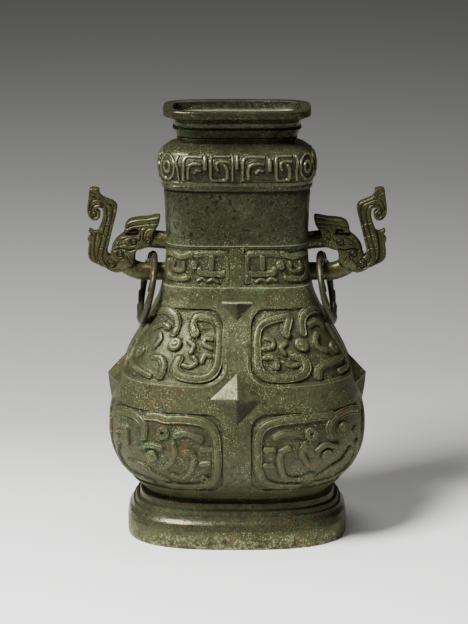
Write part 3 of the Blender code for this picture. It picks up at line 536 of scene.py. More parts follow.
def add_pyramids(shell):
    """The pointed bosses where the straps cross, and the half bosses under the neck.

    Their lower faces get painted shade, darker still in the quarters that face away from the light,
    where the upper faces of the pointed bosses get a little painted shade too. The ledge atop each half
    boss gets a painted highlight.
    """
    height = shell.height
    away = shell.quarter % 2 == 0
    for offset in (shell.run, shell.whole - shell.run):
        measure = 1 - offset / PYRAMID_HALF_WIDTH - np.abs(height - CROSSING_LEVEL) / PYRAMID_HALF_HEIGHT
        shell.lift += PYRAMID_REACH * np.maximum(measure, 0)
        shell.relief = np.where(measure > 0, 0.2, shell.relief)
        lower = (measure > 0) & (height < CROSSING_LEVEL)
        # Painted shade on the lower faces, darker in the quarters away from the light
        shell.dirt = np.where(lower, 1.05 + 0.50 * away, shell.dirt)
        # A little painted shade on the upper faces in the quarters away from the light
        shell.dirt = np.where((measure > 0) & (height > CROSSING_LEVEL) & away, 0.22, shell.dirt)
        shell.bare = np.where(lower, 0.6, shell.bare)
    apex = HALF_PYRAMID_TOP - HALF_PYRAMID_LEDGE
    low = HALF_PYRAMID_TOP - HALF_PYRAMID_DROP
    below = (height - low) / (apex - low) - shell.run / HALF_PYRAMID_HALF_WIDTH
    above = (HALF_PYRAMID_TOP - height) / (HALF_PYRAMID_TOP - apex)
    side = 1 - shell.run / HALF_PYRAMID_HALF_WIDTH
    measure = np.minimum(np.minimum(below, above), side)
    shell.lift += HALF_PYRAMID_REACH * np.maximum(measure, 0)
    # A painted highlight on the half boss's top ledge
    shell.relief = np.where(measure > 0, np.where(height > apex, 1.6, 0.2), shell.relief)
    # Painted shade on the half boss's lower faces, darker in the quarters away from the light
    shell.dirt = np.where((measure > 0) & (height < apex), 0.75 + 0.45 * away, shell.dirt)


def crease_pyramids(mesh):
    """Crisp edges on the pointed bosses."""
    bm = bmesh.new()
    bm.from_mesh(mesh)
    for edge in bm.edges:
        if len(edge.link_faces) != 2:
            continue
        middle = (edge.verts[0].co + edge.verts[1].co) / 2
        aside = min(abs(middle.x), abs(middle.y))
        beside = abs(middle.z - CROSSING_LEVEL)
        main_boss = 1.02 - aside / PYRAMID_HALF_WIDTH - beside / PYRAMID_HALF_HEIGHT > 0
        small_boss = (abs(middle.x) < HALF_PYRAMID_HALF_WIDTH
                      and HALF_PYRAMID_TOP - HALF_PYRAMID_DROP < middle.z < HALF_PYRAMID_TOP + 0.3 * MM)
        if (main_boss or small_boss) and edge.calc_face_angle(0.0) > math.radians(CREASE_ANGLE):
            edge.smooth = False
    bm.to_mesh(mesh)
    bm.free()


def wobble(points, size, seed):
    """Slow random unevenness of a cast surface, between about -1 and 1."""
    generator = np.random.default_rng(seed)
    total = np.zeros(points.shape[:-1])
    for _ in range(10):
        direction = generator.normal(size=3)
        direction /= np.linalg.norm(direction)
        rate = 2 * math.pi / size * generator.uniform(0.6, 1.6)
        total += np.sin(points @ direction * rate + generator.uniform(0, 2 * math.pi))
    return total / 3.2


# Rows of the vessel's outside: spans parted evenly, as low, high and count, and single rows
VESSEL_SPANS = (
    (FOOT_JUNCTION, LOWER_PANEL_BOTTOM, 15), (LOWER_PANEL_BOTTOM, LOWER_PANEL_TOP, 150),
    (LOWER_PANEL_TOP, CROSSING_LEVEL, 20), (CROSSING_LEVEL, UPPER_PANEL_BOTTOM, 20),
    (UPPER_PANEL_BOTTOM, UPPER_PANEL_TOP, 124), (UPPER_PANEL_TOP, NECK_BAND_BOTTOM, 24),
    (NECK_PANEL_BOTTOM, NECK_PANEL_TOP, 62), (0.398, VESSEL_HEIGHT, 10),
)
VESSEL_ROWS = (0.008, 0.016, 0.028833, 0.031667, 0.0395, 0.046, HALF_PYRAMID_TOP,
               HALF_PYRAMID_TOP + 0.2 * MM, NECK_BAND_BOTTOM, NECK_BAND_BOTTOM + 0.6 * MM,
               NECK_PANEL_TOP, NECK_BAND_TOP - 0.7 * MM, NECK_BAND_TOP + 0.3 * MM, 0.3905, 0.392,
               VESSEL_HEIGHT)

# Marks that run round the vessel: the mark, the heights between which it lies, and its value
VESSEL_MARKS = (
    # Painted shade and more roughness on the slope above the foot's shoulder, and dark lines at the foot's
    # steps
    ("dirt", FOOT_SHOULDER, 0.0485, 0.25), ("dirt", 0.0418, 0.0430, 1.0), ("dirt", 0.0480, 0.0500, 0.9),
    # A dark line at the junction under the belly, and painted shadow in the gap under the lid
    ("dirt", 0.0575, 0.0625, 0.8), ("dirt", 0.4575, HEIGHT, 1.1),
    # Painted highlights on the ledges at the foot and top of the neck band
    ("relief", NECK_BAND_BOTTOM - 0.3 * MM, NECK_BAND_BOTTOM + 0.8 * MM, 1.25),
    ("relief", NECK_BAND_TOP - 0.2 * MM, NECK_BAND_TOP + 1.5 * MM, 1.9),
)


def vessel_outside():
    """The outside of the vessel: its panels and bosses, a cast surface, dirt, bare metal and wear, and painted
    shade and painted highlights.
    """
    heights = row_heights(FOOT_PROFILE[:-1], VESSEL_SPANS, VESSEL_ROWS)
    shell = Shell(heights, vessel_half_width(heights), vessel_squareness(heights), strap_runs)
    add_panel(shell, (LOWER_PANEL_BOTTOM, LOWER_PANEL_TOP), HALF_STRAP, PANEL_RECESS, LOWER_PANEL_CORNER,
              (LOWER_RIGHT, LOWER_LEFT) * 2, 0.3)
    add_panel(shell, (UPPER_PANEL_BOTTOM, UPPER_PANEL_TOP), HALF_STRAP, PANEL_RECESS, UPPER_PANEL_CORNER,
              (UPPER_RIGHT, UPPER_LEFT) * 2, 1.0)
    add_panel(shell, (NECK_PANEL_BOTTOM, NECK_PANEL_TOP), NECK_HALF_STRAP, NECK_RECESS, NECK_BORDER,
              (NECK_MOTIF,) * 4, 0.0)
    add_pyramids(shell)
    shell.lift += VESSEL_WOBBLE * wobble(shell.points, 0.030, 3)
    shell.lift[heights < GROUND_EDGE] = 0
    foot = smooth(heights, FOOT_BAND_TOP - 0.5 * MM, FOOT_BAND_TOP + 1.5 * MM)
    foot *= 1 - 0.5 * smooth(heights, FOOT_SHOULDER, FOOT_SHOULDER + 1.4 * MM)
    foot *= 1 - smooth(heights, FOOT_JUNCTION - 5 * MM, FOOT_JUNCTION - 1 * MM)
    neck = 0.50 * smooth(heights, NECK_WAIST - 9 * MM, VESSEL_HEIGHT - 10 * MM)
    shell.bare += np.maximum(foot, neck)[:, None]
    shell.bare[heights < FOOT_BAND_TOP - 0.2 * MM] = -0.9
    # Painted shade on the lower belly
    belly_shade = 0.36 * smooth(heights, 0.065, 0.085) * (1 - smooth(heights, 0.165, 0.195))
    shell.dirt = np.maximum(shell.dirt, belly_shade[:, None])
    for mark, low, high, value in VESSEL_MARKS:
        getattr(shell, mark)[(heights > low) & (heights < high)] = value
    shell.settle()
    shell.points[0, :, 2] = 0.0
    return shell


def build_vessel(material):
    """The vessel: down inside its hollow foot, up the outside, and down inside the neck."""
    hollow_heights = np.array([0.0565, 0.036, FOOT_BAND_TOP, 0.0])
    hollow_half = np.array([0.1105, 0.125, 0.137, 0.137])
    hollow = hidden_shell(hollow_heights, hollow_half, vessel_squareness(hollow_heights), strap_runs, 0.5)
    inner_heights = np.array([VESSEL_HEIGHT, NECK_WAIST, 0.335, 0.30, 0.26, 0.205, 0.145, 0.10, 0.075, 0.064])
    inner_half = vessel_half_width(inner_heights) - WALL
    inner_half[-1] -= 2 * WALL
    inner = hidden_shell(inner_heights, inner_half, vessel_squareness(inner_heights), strap_runs, 0.5)
    shells = (hollow, vessel_outside(), inner)
    thing = make_closed("bronze_vessel", shells, ("relief", "dirt", "bare"), material, VESSEL_TRIANGLES)
    crease_pyramids(thing.data)
    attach(thing, "root")
    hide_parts("vessel")
    return thing


# Patterns of the lid's band, with points in hundredths of the pattern's width and of the band's height
SQUARE_SPIRAL = """
stroke 4.7 100,93 55,94 14,92 6,80 6,45 8,15 22,4 50,2 78,5 90,20 90,45 80,58
stroke 4.1 100,72 70,74 42,70 34,56 42,44
"""
HOOK_ARCH = """
stroke 4.7 100,90 60,92 22,90 5,76 2,45 2,4
stroke 4.1 95,64 60,65 36,58 28,42 28,12
stroke 3.2 62,32 76,42 95,40
"""

# Where a pattern starts and ends, in millimetres from the front centre
LID_PATTERNS = ((HOOK_ARCH, -68, -45), (HOOK_ARCH, 6.5, 34), (SQUARE_SPIRAL, -128, -108),
                (SQUARE_SPIRAL, -34.5, -10), (SQUARE_SPIRAL, 48, 68), (SQUARE_SPIRAL, 108, 128))
LID_OVALS = (-90, 91)
OVAL_HALF_WIDTH = 10.5

# Single strokes and bars, across in millimetres from the front centre and up in hundredths
LID_SINGLES = """
stroke 3.2 -74,92 -77,70 -74.5,35 -73,0
bar 5.5 -40,88 -40,50
stroke 3.0 -5.5,98 -5.5,2
bar 4.5 0,95 0,52
bar 5.5 41,80 41,46
stroke 3.2 73.5,95 77,70 75,35 76,0
"""
BAND_SWELL = {"stroke": 1.25, "bar": 1.9}
BAND_RISE = 1.75
BAND_RECESS = 1.0 * MM
BAND_LINE_PLACE = 1.9 * MM
BAND_LINE_WIDTH = 0.6 * MM
BAND_LINE_RISE = 0.35 * MM
BAND_MARGIN = 6 * MM


def lid_band():
    """The strokes of the lid's band: kind, width and points, across in millimetres and up as a share."""
    marks = [(kind, width, points / (1, 100)) for kind, width, points in drawing(LID_SINGLES)]
    for pattern, start, end in LID_PATTERNS:
        for kind, width, points in drawing(pattern):
            marks.append((kind, width, points / 100 * (end - start, 1) + (start, 0)))
    for centre in LID_OVALS:
        for size, width in ((1.0, 3.8), (0.42, 3.6)):
            oval = [(centre + size * OVAL_HALF_WIDTH * math.cos(turn), 0.50 + 0.46 * size * math.sin(turn))
                    for turn in np.linspace(0, 2 * math.pi, 15)]
            marks.append(("stroke", width, np.array(oval)))
    return marks


def add_lid_band(shell):
    """Raise the strokes of the band in front, and the same again behind."""
    signed = np.where(shell.quarter % 2 == 0, shell.run, -shell.run)
    first, last = shell.row(LID_BAND_BOTTOM), shell.row(LID_BAND_TOP)
    block = slice(first, last + 1)
    rise = shell.rise[last, 0] - shell.rise[first, 0]
    up = shell.rise[block] - shell.rise[first, 0]
    spots = np.stack([signed[block].ravel(), up.ravel()], 1)
    raised, line = np.zeros((2, len(spots)))
    for kind, width, shares in lid_band():
        half = width * MM / 2
        points = rounded_path(shares * (MM, rise))
        near = np.all((spots > points.min(0) - BAND_MARGIN) & (spots < points.max(0) + BAND_MARGIN), axis=1)
        distance = distance_to_path(spots[near], points)
        body = smooth(half - distance, -0.7 * MM, 0.8 * MM)
        dome = np.sqrt(np.clip(1 - (distance / (half + 0.7 * MM)) ** 2, 0, 1))
        raised[near] = np.maximum(raised[near], body * BAND_SWELL[kind] * (0.30 + 0.70 * dome))
        ring = hump(distance - half - BAND_LINE_PLACE, BAND_LINE_WIDTH)
        line[near] = np.maximum(line[near], ring * (kind == "stroke"))
    raised, line = raised.reshape(up.shape), line.reshape(up.shape)
    fade = smooth(up, -0.001, 0.002) * smooth(rise - up, -0.001, 0.002)
    lines = BAND_LINE_RISE * line * (raised < 0.3)
    shell.lift[block] += (raised * BAND_RISE * MM + lines - BAND_RECESS) * fade
    shell.relief[block] = (np.clip(raised, 0, 1.2) * 1.67 - 0.95) * fade
    shell.dirt[block] = smooth(0.5 - raised, 0.0, 0.4) * 0.9 * fade


# Rows of the lid's outside besides its profile's
LID_SPANS = ((LID_BAND_BOTTOM, LID_BAND_TOP, 62), (0.509, 0.516, 6), (0.5385, 0.5505, 8))
LID_ROWS = (LID_BAND_TOP, 0.5275, 0.532, 0.5555)


def lid_outside():
    """The outside of the lid: its band, painted shade on the waist under the crown and along its lower edge,
    and a cast surface.
    """
    heights = row_heights(LID_PROFILE, LID_SPANS, LID_ROWS)
    crisp = profile_value(LID_PROFILE, heights, rounded=False)
    rounded = profile_value(LID_PROFILE, heights)
    half_widths = np.where((heights > LID_BAND_BOTTOM) & (heights < LID_SHOULDER_TOP), rounded, crisp)
    shell = Shell(heights, half_widths, NECK_SQUARENESS, even_runs)
    add_lid_band(shell)
    waist = smooth(heights, 0.512, 0.515) * (1 - smooth(heights, 0.517, 0.519))
    # Painted shade on the waist under the crown
    shell.relief -= 0.7 * waist[:, None]
    # Painted shadow along the lid's lower edge, over the gap to the vessel
    shell.dirt[heights < 0.4612] = 0.9
    shell.lift += LID_WOBBLE * wobble(shell.points, 0.02, 8)
    shell.lift[heights < 0.462] = 0
    shell.lift[heights > 0.5585] = np.minimum(shell.lift[heights > 0.5585], 0)
    shell.settle()
    shell.points[:, :, 2] = np.minimum(shell.points[:, :, 2], HEIGHT - 0.01 * MM)
    return shell


def build_lid(material):
    """The lid: down inside it, round its flange, up the outside, and down into the crown's dish."""
    under_heights = np.array([0.513, 0.496, 0.470, 0.4603, 0.4383, 0.4383, 0.4603])
    under_half = np.array([0.069, 0.0943, 0.091, 0.0835, 0.0835, 0.0868, 0.0868])
    under = hidden_shell(under_heights, under_half, NECK_SQUARENESS, even_runs, 0.6)
    dish_heights, dish_half = CROWN_INSIDE.T * MM
    dish = Shell(dish_heights, dish_half, NECK_SQUARENESS, even_runs)
    # Painted light in the crown's dish: the lip counts as raised, the upper inner wall gets painted shade, and
    # the lower wall a pale painted highlight
    dish.relief[0] = 0.6
    dish.relief[1:3] = -0.9
    dish.relief[3:] = 1.1
    dish.dirt[1:3] = 1.3
    dish.dirt[3] = 0.3
    shells = (under, lid_outside(), dish)
    thing = make_closed("bronze_lid", shells, ("relief", "dirt"), material, LID_TRIANGLES)
    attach(thing, "root")
    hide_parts("lid")
    return thing


# Handles, in millimetres out from the axis and up from the ground: the grid that they are cut from, the half
# thickness of each part and how far its edges are rounded, the fillets between the parts, and their outlines
HANDLE_CELL = 0.60
HANDLE_REACH = (86.0, 193.5)
HANDLE_HEIGHTS = (328.0, 459.0)
HANDLE_HALF_THICKNESS = 16.5
HANDLE_END = 90.4
CHEEK, CHEEK_EDGE, SNOUT_EDGE = 12.6, 3.2, 7.0
STEM, STEM_EDGE = 7.6, 1.6
BLADE, BLADE_EDGE = 5.2, 1.2
HEAD_FILLET, FIN_FILLET, BAR_FILLET = 0.8, 0.5, 2.0
HEAD_OUTLINE = pairs("""
    99.3,418.6 115,416.2 126,415.4 135,413.6 140.5,410.2 143.3,405 144.2,398.5 148,393.8 152.5,390.2 157,385
    160,379.5 161,373.5 162.8,367.5 161,360 157,352 149,347 141,349.5 134.5,352.5 131,358 130.3,366
    128.5,373.5 122,378 112,380.5 108.8,385.5 107.7,392 105.7,399 102.2,404 99.7,409
""")
TRUNK_OUTLINE = pairs("""
    164.5,367.5 166,373 163.5,383 160.5,396 157,410 154,421.5 153,429 154.7,434 158.5,437.2 165,439.8
    172,443.2 175,447 176.8,453.8 186.8,454.3 188.6,447.5 189.6,440 191,431 191,423 189.3,417.5 184.5,413.2
    179,412.8 175.2,416.3 174.4,421 176.3,424.6 179,426 177.5,428.6 173.5,428.8 171.5,425.5 171.4,418.5
    173,411.5 175.5,404.5 178,398 180.5,388 181.5,376 181,366 177,358.5 171,352.5 163,347 155,344.5 148,346
    143,350 148,358 158,363
""")
FIN_OUTLINE = pairs("""
    175.5,398 182.5,398.3 188.5,401.3 189.8,397.5 187.7,393.5 191,390 191.2,386.5 189.8,381.8 190.8,375
    191,368 190,362.8 186,358 178,354 170,350.5 172,358 176,366 177,380
""")
UPPER_BAR = pairs("""
    80,384.5 92,385.5 104,387 116,387.5 128,384
""")
LOWER_BAR = pairs("""
    80,344.9 96,344.9 112,344.7 124,345.2 136,349.5 146,356
""")

# A handle's bars: their line, and half their thickness up and across
HANDLE_BARS = ((UPPER_BAR, 11.6, 9.4), (LOWER_BAR, 11.7, 9.6))

# Lines cut into the sides of a handle: width, depth and the line's points
HANDLE_CUTS = """
1.5 1.1 172,354.5 177.5,362 177.5,370 175.2,380 171.3,394 167.6,407 165.4,418 165.8,427 169,432.3 \
    175,434 181.5,432.5 185.3,427.5 185.6,421 181.8,417.3 178.6,419.6 180.2,422.8
1.5 1.1 162,352.5 169,358 171.8,366 169.6,377 165.8,391 162.2,405 159.3,418 158.2,428 161,433.6 \
    167.5,437 175.5,440 183,439.6 187.2,434 188.4,425
1.3 1 162.8,391 168.2,393.4 174.8,394.2
1.3 1 166,374.4 171.5,376.8 178.2,377
1.3 1 159.5,405.8 164.2,409 170,409.4
1.3 1 178.5,441.5 180,446.5 184.5,449.5
1.4 1.2 179.2,397 181.2,388 182.4,376 182,366 178.2,358.4
1.2 0.9 185.5,361.5 187,370 186.2,380 186,388 184.5,396
3.4 4.5 145,395 136,396 129,395.8 126.8,398.2 129.2,400.8 134.5,399.8
1.4 1.2 126.5,392.5 133,392.3 141,390.8 148,386.8 154,380.5
2 1.8 156,374.6 151,376.6 144.5,376.4 137,375 130.5,376.6
1.4 1.2 126.5,389 130,382.6 136,381.4 143,383 150,381
1.4 1.1 144,370 144.6,364.5 149,362 153,357.5 155.5,351.5
1.4 1.1 101.5,410 113,409.2 126,407.6 136,405.6 142,402.5
1.4 1.1 104,405 112,403.5 117.5,399.5 119.5,393 118.5,387
1.3 1 121,404.6 123.6,399 122.6,392.5 125,386
1.3 1 133,355.5 138,360.5 140.5,367.5
"""

# Round scrolls on the sides of a handle: the centre and the radius
HANDLE_SCROLLS = ((132.0, 386.8, 4.2), (113.6, 388.2, 4.0), (149.2, 370.6, 4.2), (160.6, 356.4, 5.8),
                  (182.2, 421.6, 3.2))


def signed_distance(spots, outline):
    """Distance to a closed outline, negative inside it."""
    x, z = spots.T
    ends = np.roll(outline, -1, axis=0)
    best = np.full(len(spots), np.inf)
    inside = np.zeros(len(spots), bool)
    for (x0, z0), (x1, z1) in zip(outline, ends):
        along = np.array([x1 - x0, z1 - z0])
        share = np.clip(((x - x0) * along[0] + (z - z0) * along[1]) / (along @ along), 0, 1)
        best = np.minimum(best, np.hypot(x - x0 - share * along[0], z - z0 - share * along[1]))
        if z0 != z1:
            inside ^= ((z0 > z) != (z1 > z)) & (x < x0 + (z - z0) / (z1 - z0) * (x1 - x0))
    return np.where(inside, -best, best)


def plate(distance, depth, half_thickness, edge):
    """Solid plate with rounded edges: negative inside."""
    across = distance[:, None, :] + edge
    through = depth[None, :, None] - half_thickness[:, None, :] + edge
    return (np.minimum(np.maximum(across, through), 0)
            + np.hypot(np.maximum(across, 0), np.maximum(through, 0)) - edge)


def blend(first, second, size):
    """The union of two solids with a fillet of about the given size."""
    share = np.clip(0.5 + 0.5 * (second - first) / size, 0, 1)
    return second * (1 - share) + first * share - size * share * (1 - share)


def surface_points(values, used, corners):
    """A point for each cell that the skin passes through: the middle of where it crosses the cell's edges."""
    sums = np.zeros((len(used), 3))
    counts = np.zeros(len(used))
    for corner in corners:
        for axis in range(3):
            if corner[axis]:
                continue
            other = tuple(c + (axis == position) for position, c in enumerate(corner))
            low = values[tuple((used + corner).T)]
            high = values[tuple((used + other).T)]
            crossed = (low < 0) != (high < 0)
            share = np.where(crossed, low / np.where(crossed, low - high, 1), 0)
            spot = np.repeat(np.array(corner, float)[None], len(used), 0)
            spot[:, axis] += share
            sums += spot * crossed[:, None]
            counts += crossed
    return used + sums / counts[:, None]


def surface(values, origin, cell):
    """Points and faces of the skin where a field of values changes sign."""
    inside = values < 0
    shape = tuple(size - 1 for size in values.shape)
    corners = [(i, j, k) for i in (0, 1) for j in (0, 1) for k in (0, 1)]
    total = np.zeros(shape, np.int8)
    for corner in corners:
        total += inside[tuple(slice(c, c + size) for c, size in zip(corner, shape))]
    used = np.argwhere((total > 0) & (total < 8))
    number = np.full(shape, -1, np.int64)
    number[tuple(used.T)] = np.arange(len(used))
    points = surface_points(values, used, corners) * cell + origin
    faces = []
    for axis in range(3):
        first = np.take(inside, range(inside.shape[axis] - 1), axis)
        second = np.take(inside, range(1, inside.shape[axis]), axis)
        spots = np.argwhere(first != second)
        one, two = [position for position in range(3) if position != axis]
        quad = []
        for shift_one, shift_two in ((-1, -1), (0, -1), (0, 0), (-1, 0)):
            place = spots.copy()
            place[:, one] += shift_one
            place[:, two] += shift_two
            quad.append(number[tuple(place.T)])
        quad = np.stack(quad, 1)
        flip = first[tuple(spots.T)] != (axis == 1)
        quad[~flip] = quad[~flip][:, ::-1]
        faces.append(quad)
    return points, np.concatenate(faces)


def handle_carving(grid):
    """Depth of the cuts, and swell of the scrolls, at spots on the side of a handle."""
    cut, swell = np.zeros((2, len(grid)))
    for width, depth, line in drawing(HANDLE_CUTS):
        distance = distance_to_path(grid, rounded_path(line, 4))
        cut = np.maximum(cut, 1.3 * depth * hump(distance, float(width) * 0.58))
    for centre_u, centre_z, radius in HANDLE_SCROLLS:
        offset = grid - (centre_u, centre_z)
        distance = np.hypot(offset[:, 0], offset[:, 1])
        turn = np.arctan2(offset[:, 1], offset[:, 0]) / (2 * math.pi)
        coil = np.abs((distance / radius * 2 - turn + 0.5) % 1 - 0.5) * radius / 2
        spiral = hump(coil, 0.62) * (distance < radius * 0.92)
        cut = np.maximum(cut, 1.5 * np.maximum(spiral, hump(distance - radius, 0.75)))
        swell = np.maximum(swell, 1.4 * smooth(radius - distance, -0.3, 1.2))
    return cut, swell


def handle_solid():
    """Points and faces of a right handle, and how deep it is cut there, in millimetres."""
    cell = HANDLE_CELL
    u = np.arange(*HANDLE_REACH, cell)
    z = np.arange(*HANDLE_HEIGHTS, cell)
    y = np.arange(-HANDLE_HALF_THICKNESS - cell / 2, HANDLE_HALF_THICKNESS + 0.5, cell)
    grid = np.stack(np.meshgrid(u, z, indexing="ij"), 2).reshape(-1, 2)
    size = (len(u), len(z))
    head, trunk, fin = (signed_distance(grid, closed_outline(outline)).reshape(size)
                        for outline in (HEAD_OUTLINE, TRUNK_OUTLINE, FIN_OUTLINE))
    cut, swell = (values.reshape(size) for values in handle_carving(grid))
    across, up = grid[:, 0].reshape(size), grid[:, 1].reshape(size)
    depth = np.abs(y)
    snout = smooth(across, 138, 160)
    crest = smooth(up, 401.5, 404.5)
    cheek = CHEEK - 2.4 * snout - 1.4 * crest - 2.0 * smooth(360 - up, 0, 12)
    body = plate(head, depth, cheek + swell - cut, CHEEK_EDGE)
    round_snout = plate(head, depth, cheek + swell - cut, SNOUT_EDGE)
    share = (snout * (1 - crest))[:, None, :]
    body = body * (1 - share) + round_snout * share
    stem = plate(trunk, depth, STEM + 1.4 * smooth(372 - up, 0, 14) + 0.8 * swell - cut, STEM_EDGE)
    blade = plate(fin, depth, BLADE - 0.8 * cut, BLADE_EDGE)
    solid = blend(blend(body, stem, HEAD_FILLET), blade, FIN_FILLET)
    for line, half, thick in HANDLE_BARS:
        distance = distance_to_path(grid / 1000, rounded_path(line / 1000)).reshape(size) * 1000
        bar = (np.hypot(distance[:, None, :], depth[None, :, None] * half / thick) - half) * 0.9
        solid = blend(solid, bar, BAR_FILLET)
    solid = np.maximum(solid, (HANDLE_END - across)[:, None, :])
    solid[0] = solid[-1] = 1.0
    points, faces = surface(solid, np.array([u[0], y[0], z[0]]), cell)
    column = np.clip(np.round((points[:, 0] - u[0]) / cell).astype(int), 0, size[0] - 1)
    row = np.clip(np.round((points[:, 2] - z[0]) / cell).astype(int), 0, size[1] - 1)
    return points, faces, cut[column, row]


def build_handle(name, side, material, solid):
    """A handle: the right one, or its mirror on the left."""
    points, faces, cut = solid
    placed = points * MM
    placed[:, 0] *= side
    cuts = np.clip(cut, 0, 1) * smooth(np.abs(points[:, 1]), 3.5, 6.5)
    marks = {"relief": 0.5 * (1 - cuts) - 0.6 * cuts, "dirt": cuts}
    thing = make_mesh("bronze_" + name, placed, faces.tolist(), material, marks, 50)
    soften = thing.modifiers.new("soften", "SMOOTH")
    soften.factor = 0.3
    soften.iterations = 1
    apply_modifiers(thing)
    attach(thing, "root")
    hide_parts(name)
    return thing


# Rings, each a chain of overlapping scales
RING_RADIUS = 0.0485
RING_BAND = 0.0125
RING_THICKNESS = 0.0095
RING_SCALES = 13
RING_SCALE_STEPS = 12
RING_SIDES = 18
RING_TAPER = 0.42
RING_LIP = 0.10
RING_TAIL = 0.90
RING_SHIFT = 0.4 * MM


def packed_ring_axes(name, side):
    """Centre, across, up and out of a packed ring, read from its points."""
    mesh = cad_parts[name].data
    co = np.array([v.co[:] for v in mesh.vertices])
    centre = co.mean(0)
    _, _, axes = np.linalg.svd(co - centre, full_matrices=False)
    out = axes[2] * np.sign(axes[2][0]) * side
    across = np.cross((0.0, 0.0, 1.0), out)
    across /= np.linalg.norm(across)
    across *= np.sign(across[1])
    up = np.cross(out, across)
    up *= np.sign(up[2])
    return centre, across, up, out


def build_ring(name, side, material):
    """A ring of scales, each thinning to the lip of the next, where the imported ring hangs."""
    centre, across, up, out = packed_ring_axes(name, side)
    centre[0] += side * RING_SHIFT
    middle = RING_RADIUS - RING_BAND / 2
    points, relief = [], []
    for scale in range(RING_SCALES):
        for step in range(RING_SCALE_STEPS):
            share = step / RING_SCALE_STEPS
            angle = 2 * math.pi * (scale + share) / RING_SCALES
            radial = across * math.sin(angle) + up * math.cos(angle)
            swell = 1.0 - RING_TAPER * share ** 1.3
            lip = 1 - smooth(share, 0.0, RING_LIP)
            tail = smooth(share, RING_TAIL, 1.0)
            band = RING_BAND * (0.90 + 0.08 * swell) / 2
            thick = RING_THICKNESS * 0.5 * 0.98 * (1 - 0.10 * tail)
            for turn in np.linspace(0, 2 * math.pi, RING_SIDES, endpoint=False):
                c, s = math.cos(turn), math.sin(turn)
                a = math.copysign(abs(c) ** 0.8, c) * band
                b = math.copysign(abs(s) ** 0.9, s) * thick
                b = b * swell if b > 0 else b
                points.append(centre + radial * (middle + a) + out * b)
                relief.append(0.5 * lip - 0.9 * tail)
    faces = grid_faces(RING_SCALES * RING_SCALE_STEPS, RING_SIDES).tolist()
    thing = make_mesh("bronze_" + name, points, faces, material, {"relief": relief}, 45)
    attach(thing, "root")
    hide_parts(name)
    return thing


# Noises of the patina: scale, detail and roughness
NOISES = {
    "broad": (14.0, 5.0, 0.6), "middle": (60.0, 6.0, 0.65), "fine": (620.0, 4.0, 0.7),
    "grain": (900.0, 3.0, 0.6), "green": (22.0, 6.0, 0.7), "speckle fields": (26.0, 4.0, 0.6),
    "moss": (430.0, 4.0, 0.65), "moss fields": (15.0, 4.0, 0.6), "mottle": (200.0, 5.0, 0.72),
    "pits": (240.0, 5.0, 0.75), "crust": (210.0, 5.0, 0.7), "clots": (130.0, 5.0, 0.7),
    "cloud": (13.0, 4.0, 0.6), "blots": (170.0, 3.0, 0.55), "rust": (100.0, 5.0, 0.65),
    "rust fields": (17.0, 3.0, 0.5),
}
RUST = (0.070, 0.042, 0.017)
BARE = (0.030, 0.028, 0.017)
# Pale colour of worn ridges and of painted highlights
WEAR_AND_HIGHLIGHT = (0.37, 0.37, 0.24)
TINT = (1.0, 0.97, 0.66, 1.0)
SPECULAR = 0.38
PIT_DEPTH = 0.0009


class Nodes:
    """Short names for the nodes of one bronze, and the colour that it has so far."""

    def __init__(self, name, colour):
        self.material = bpy.data.materials.new(name)
        self.material.use_nodes = True
        self.tree = self.material.node_tree
        self.shader = self.tree.nodes["Principled BSDF"]
        self.place = self.tree.nodes.new("ShaderNodeTexCoord").outputs["Object"]
        self.colour = colour

    def link(self, source, target):
        self.tree.links.new(source, target)

    def noise(self, name):
        node = self.tree.nodes.new("ShaderNodeTexNoise")
        for key, value in zip(("Scale", "Detail", "Roughness"), NOISES[name]):
            node.inputs[key].default_value = value
        self.link(self.place, node.inputs["Vector"])
        return node.outputs["Fac"]

    def attribute(self, name):
        node = self.tree.nodes.new("ShaderNodeAttribute")
        node.attribute_name = name
        return node.outputs["Fac"]

    def ramp(self, source, start, end):
        """A soft step between two values, each given with the source's value where it is reached."""
        node = self.tree.nodes.new("ShaderNodeMapRange")
        node.interpolation_type = "SMOOTHSTEP"
        for key, value in zip(("From Min", "To Min", "From Max", "To Max"), (*start, *end)):
            node.inputs[key].default_value = value
        self.link(source, node.inputs["Value"])
        return node.outputs["Result"]

    def math(self, operation, first, second):
        node = self.tree.nodes.new("ShaderNodeMath")
        node.operation = operation
        for socket, value in zip(node.inputs, (first, second)):
            if isinstance(value, (int, float)):
                socket.default_value = value
            else:
                self.link(value, socket)
        return node.outputs["Value"]

    def times(self, first, second):
        return self.math("MULTIPLY", first, second)

    def cover(self, share, colour):
        """Lay another colour over the bronze, where share says."""
        node = self.tree.nodes.new("ShaderNodeMix")
        node.data_type = "RGBA"
        self.link(share, node.inputs[0])
        for key, value in ((6, self.colour), (7, colour)):
            if isinstance(value, tuple):
                node.inputs[key].default_value = (*value, 1.0)
            else:
                self.link(value, node.inputs[key])
        self.colour = node.outputs[2]

    def height(self):
        node = self.tree.nodes.new("ShaderNodeSeparateXYZ")
        self.link(self.place, node.inputs["Vector"])
        return node.outputs["Z"]

    def bump(self, height, distance):
        node = self.tree.nodes.new("ShaderNodeBump")
        node.inputs["Distance"].default_value = distance
        self.link(height, node.inputs["Height"])
        return node.outputs["Normal"]


def scaled(colour, share):
    return tuple(value * share for value in colour)


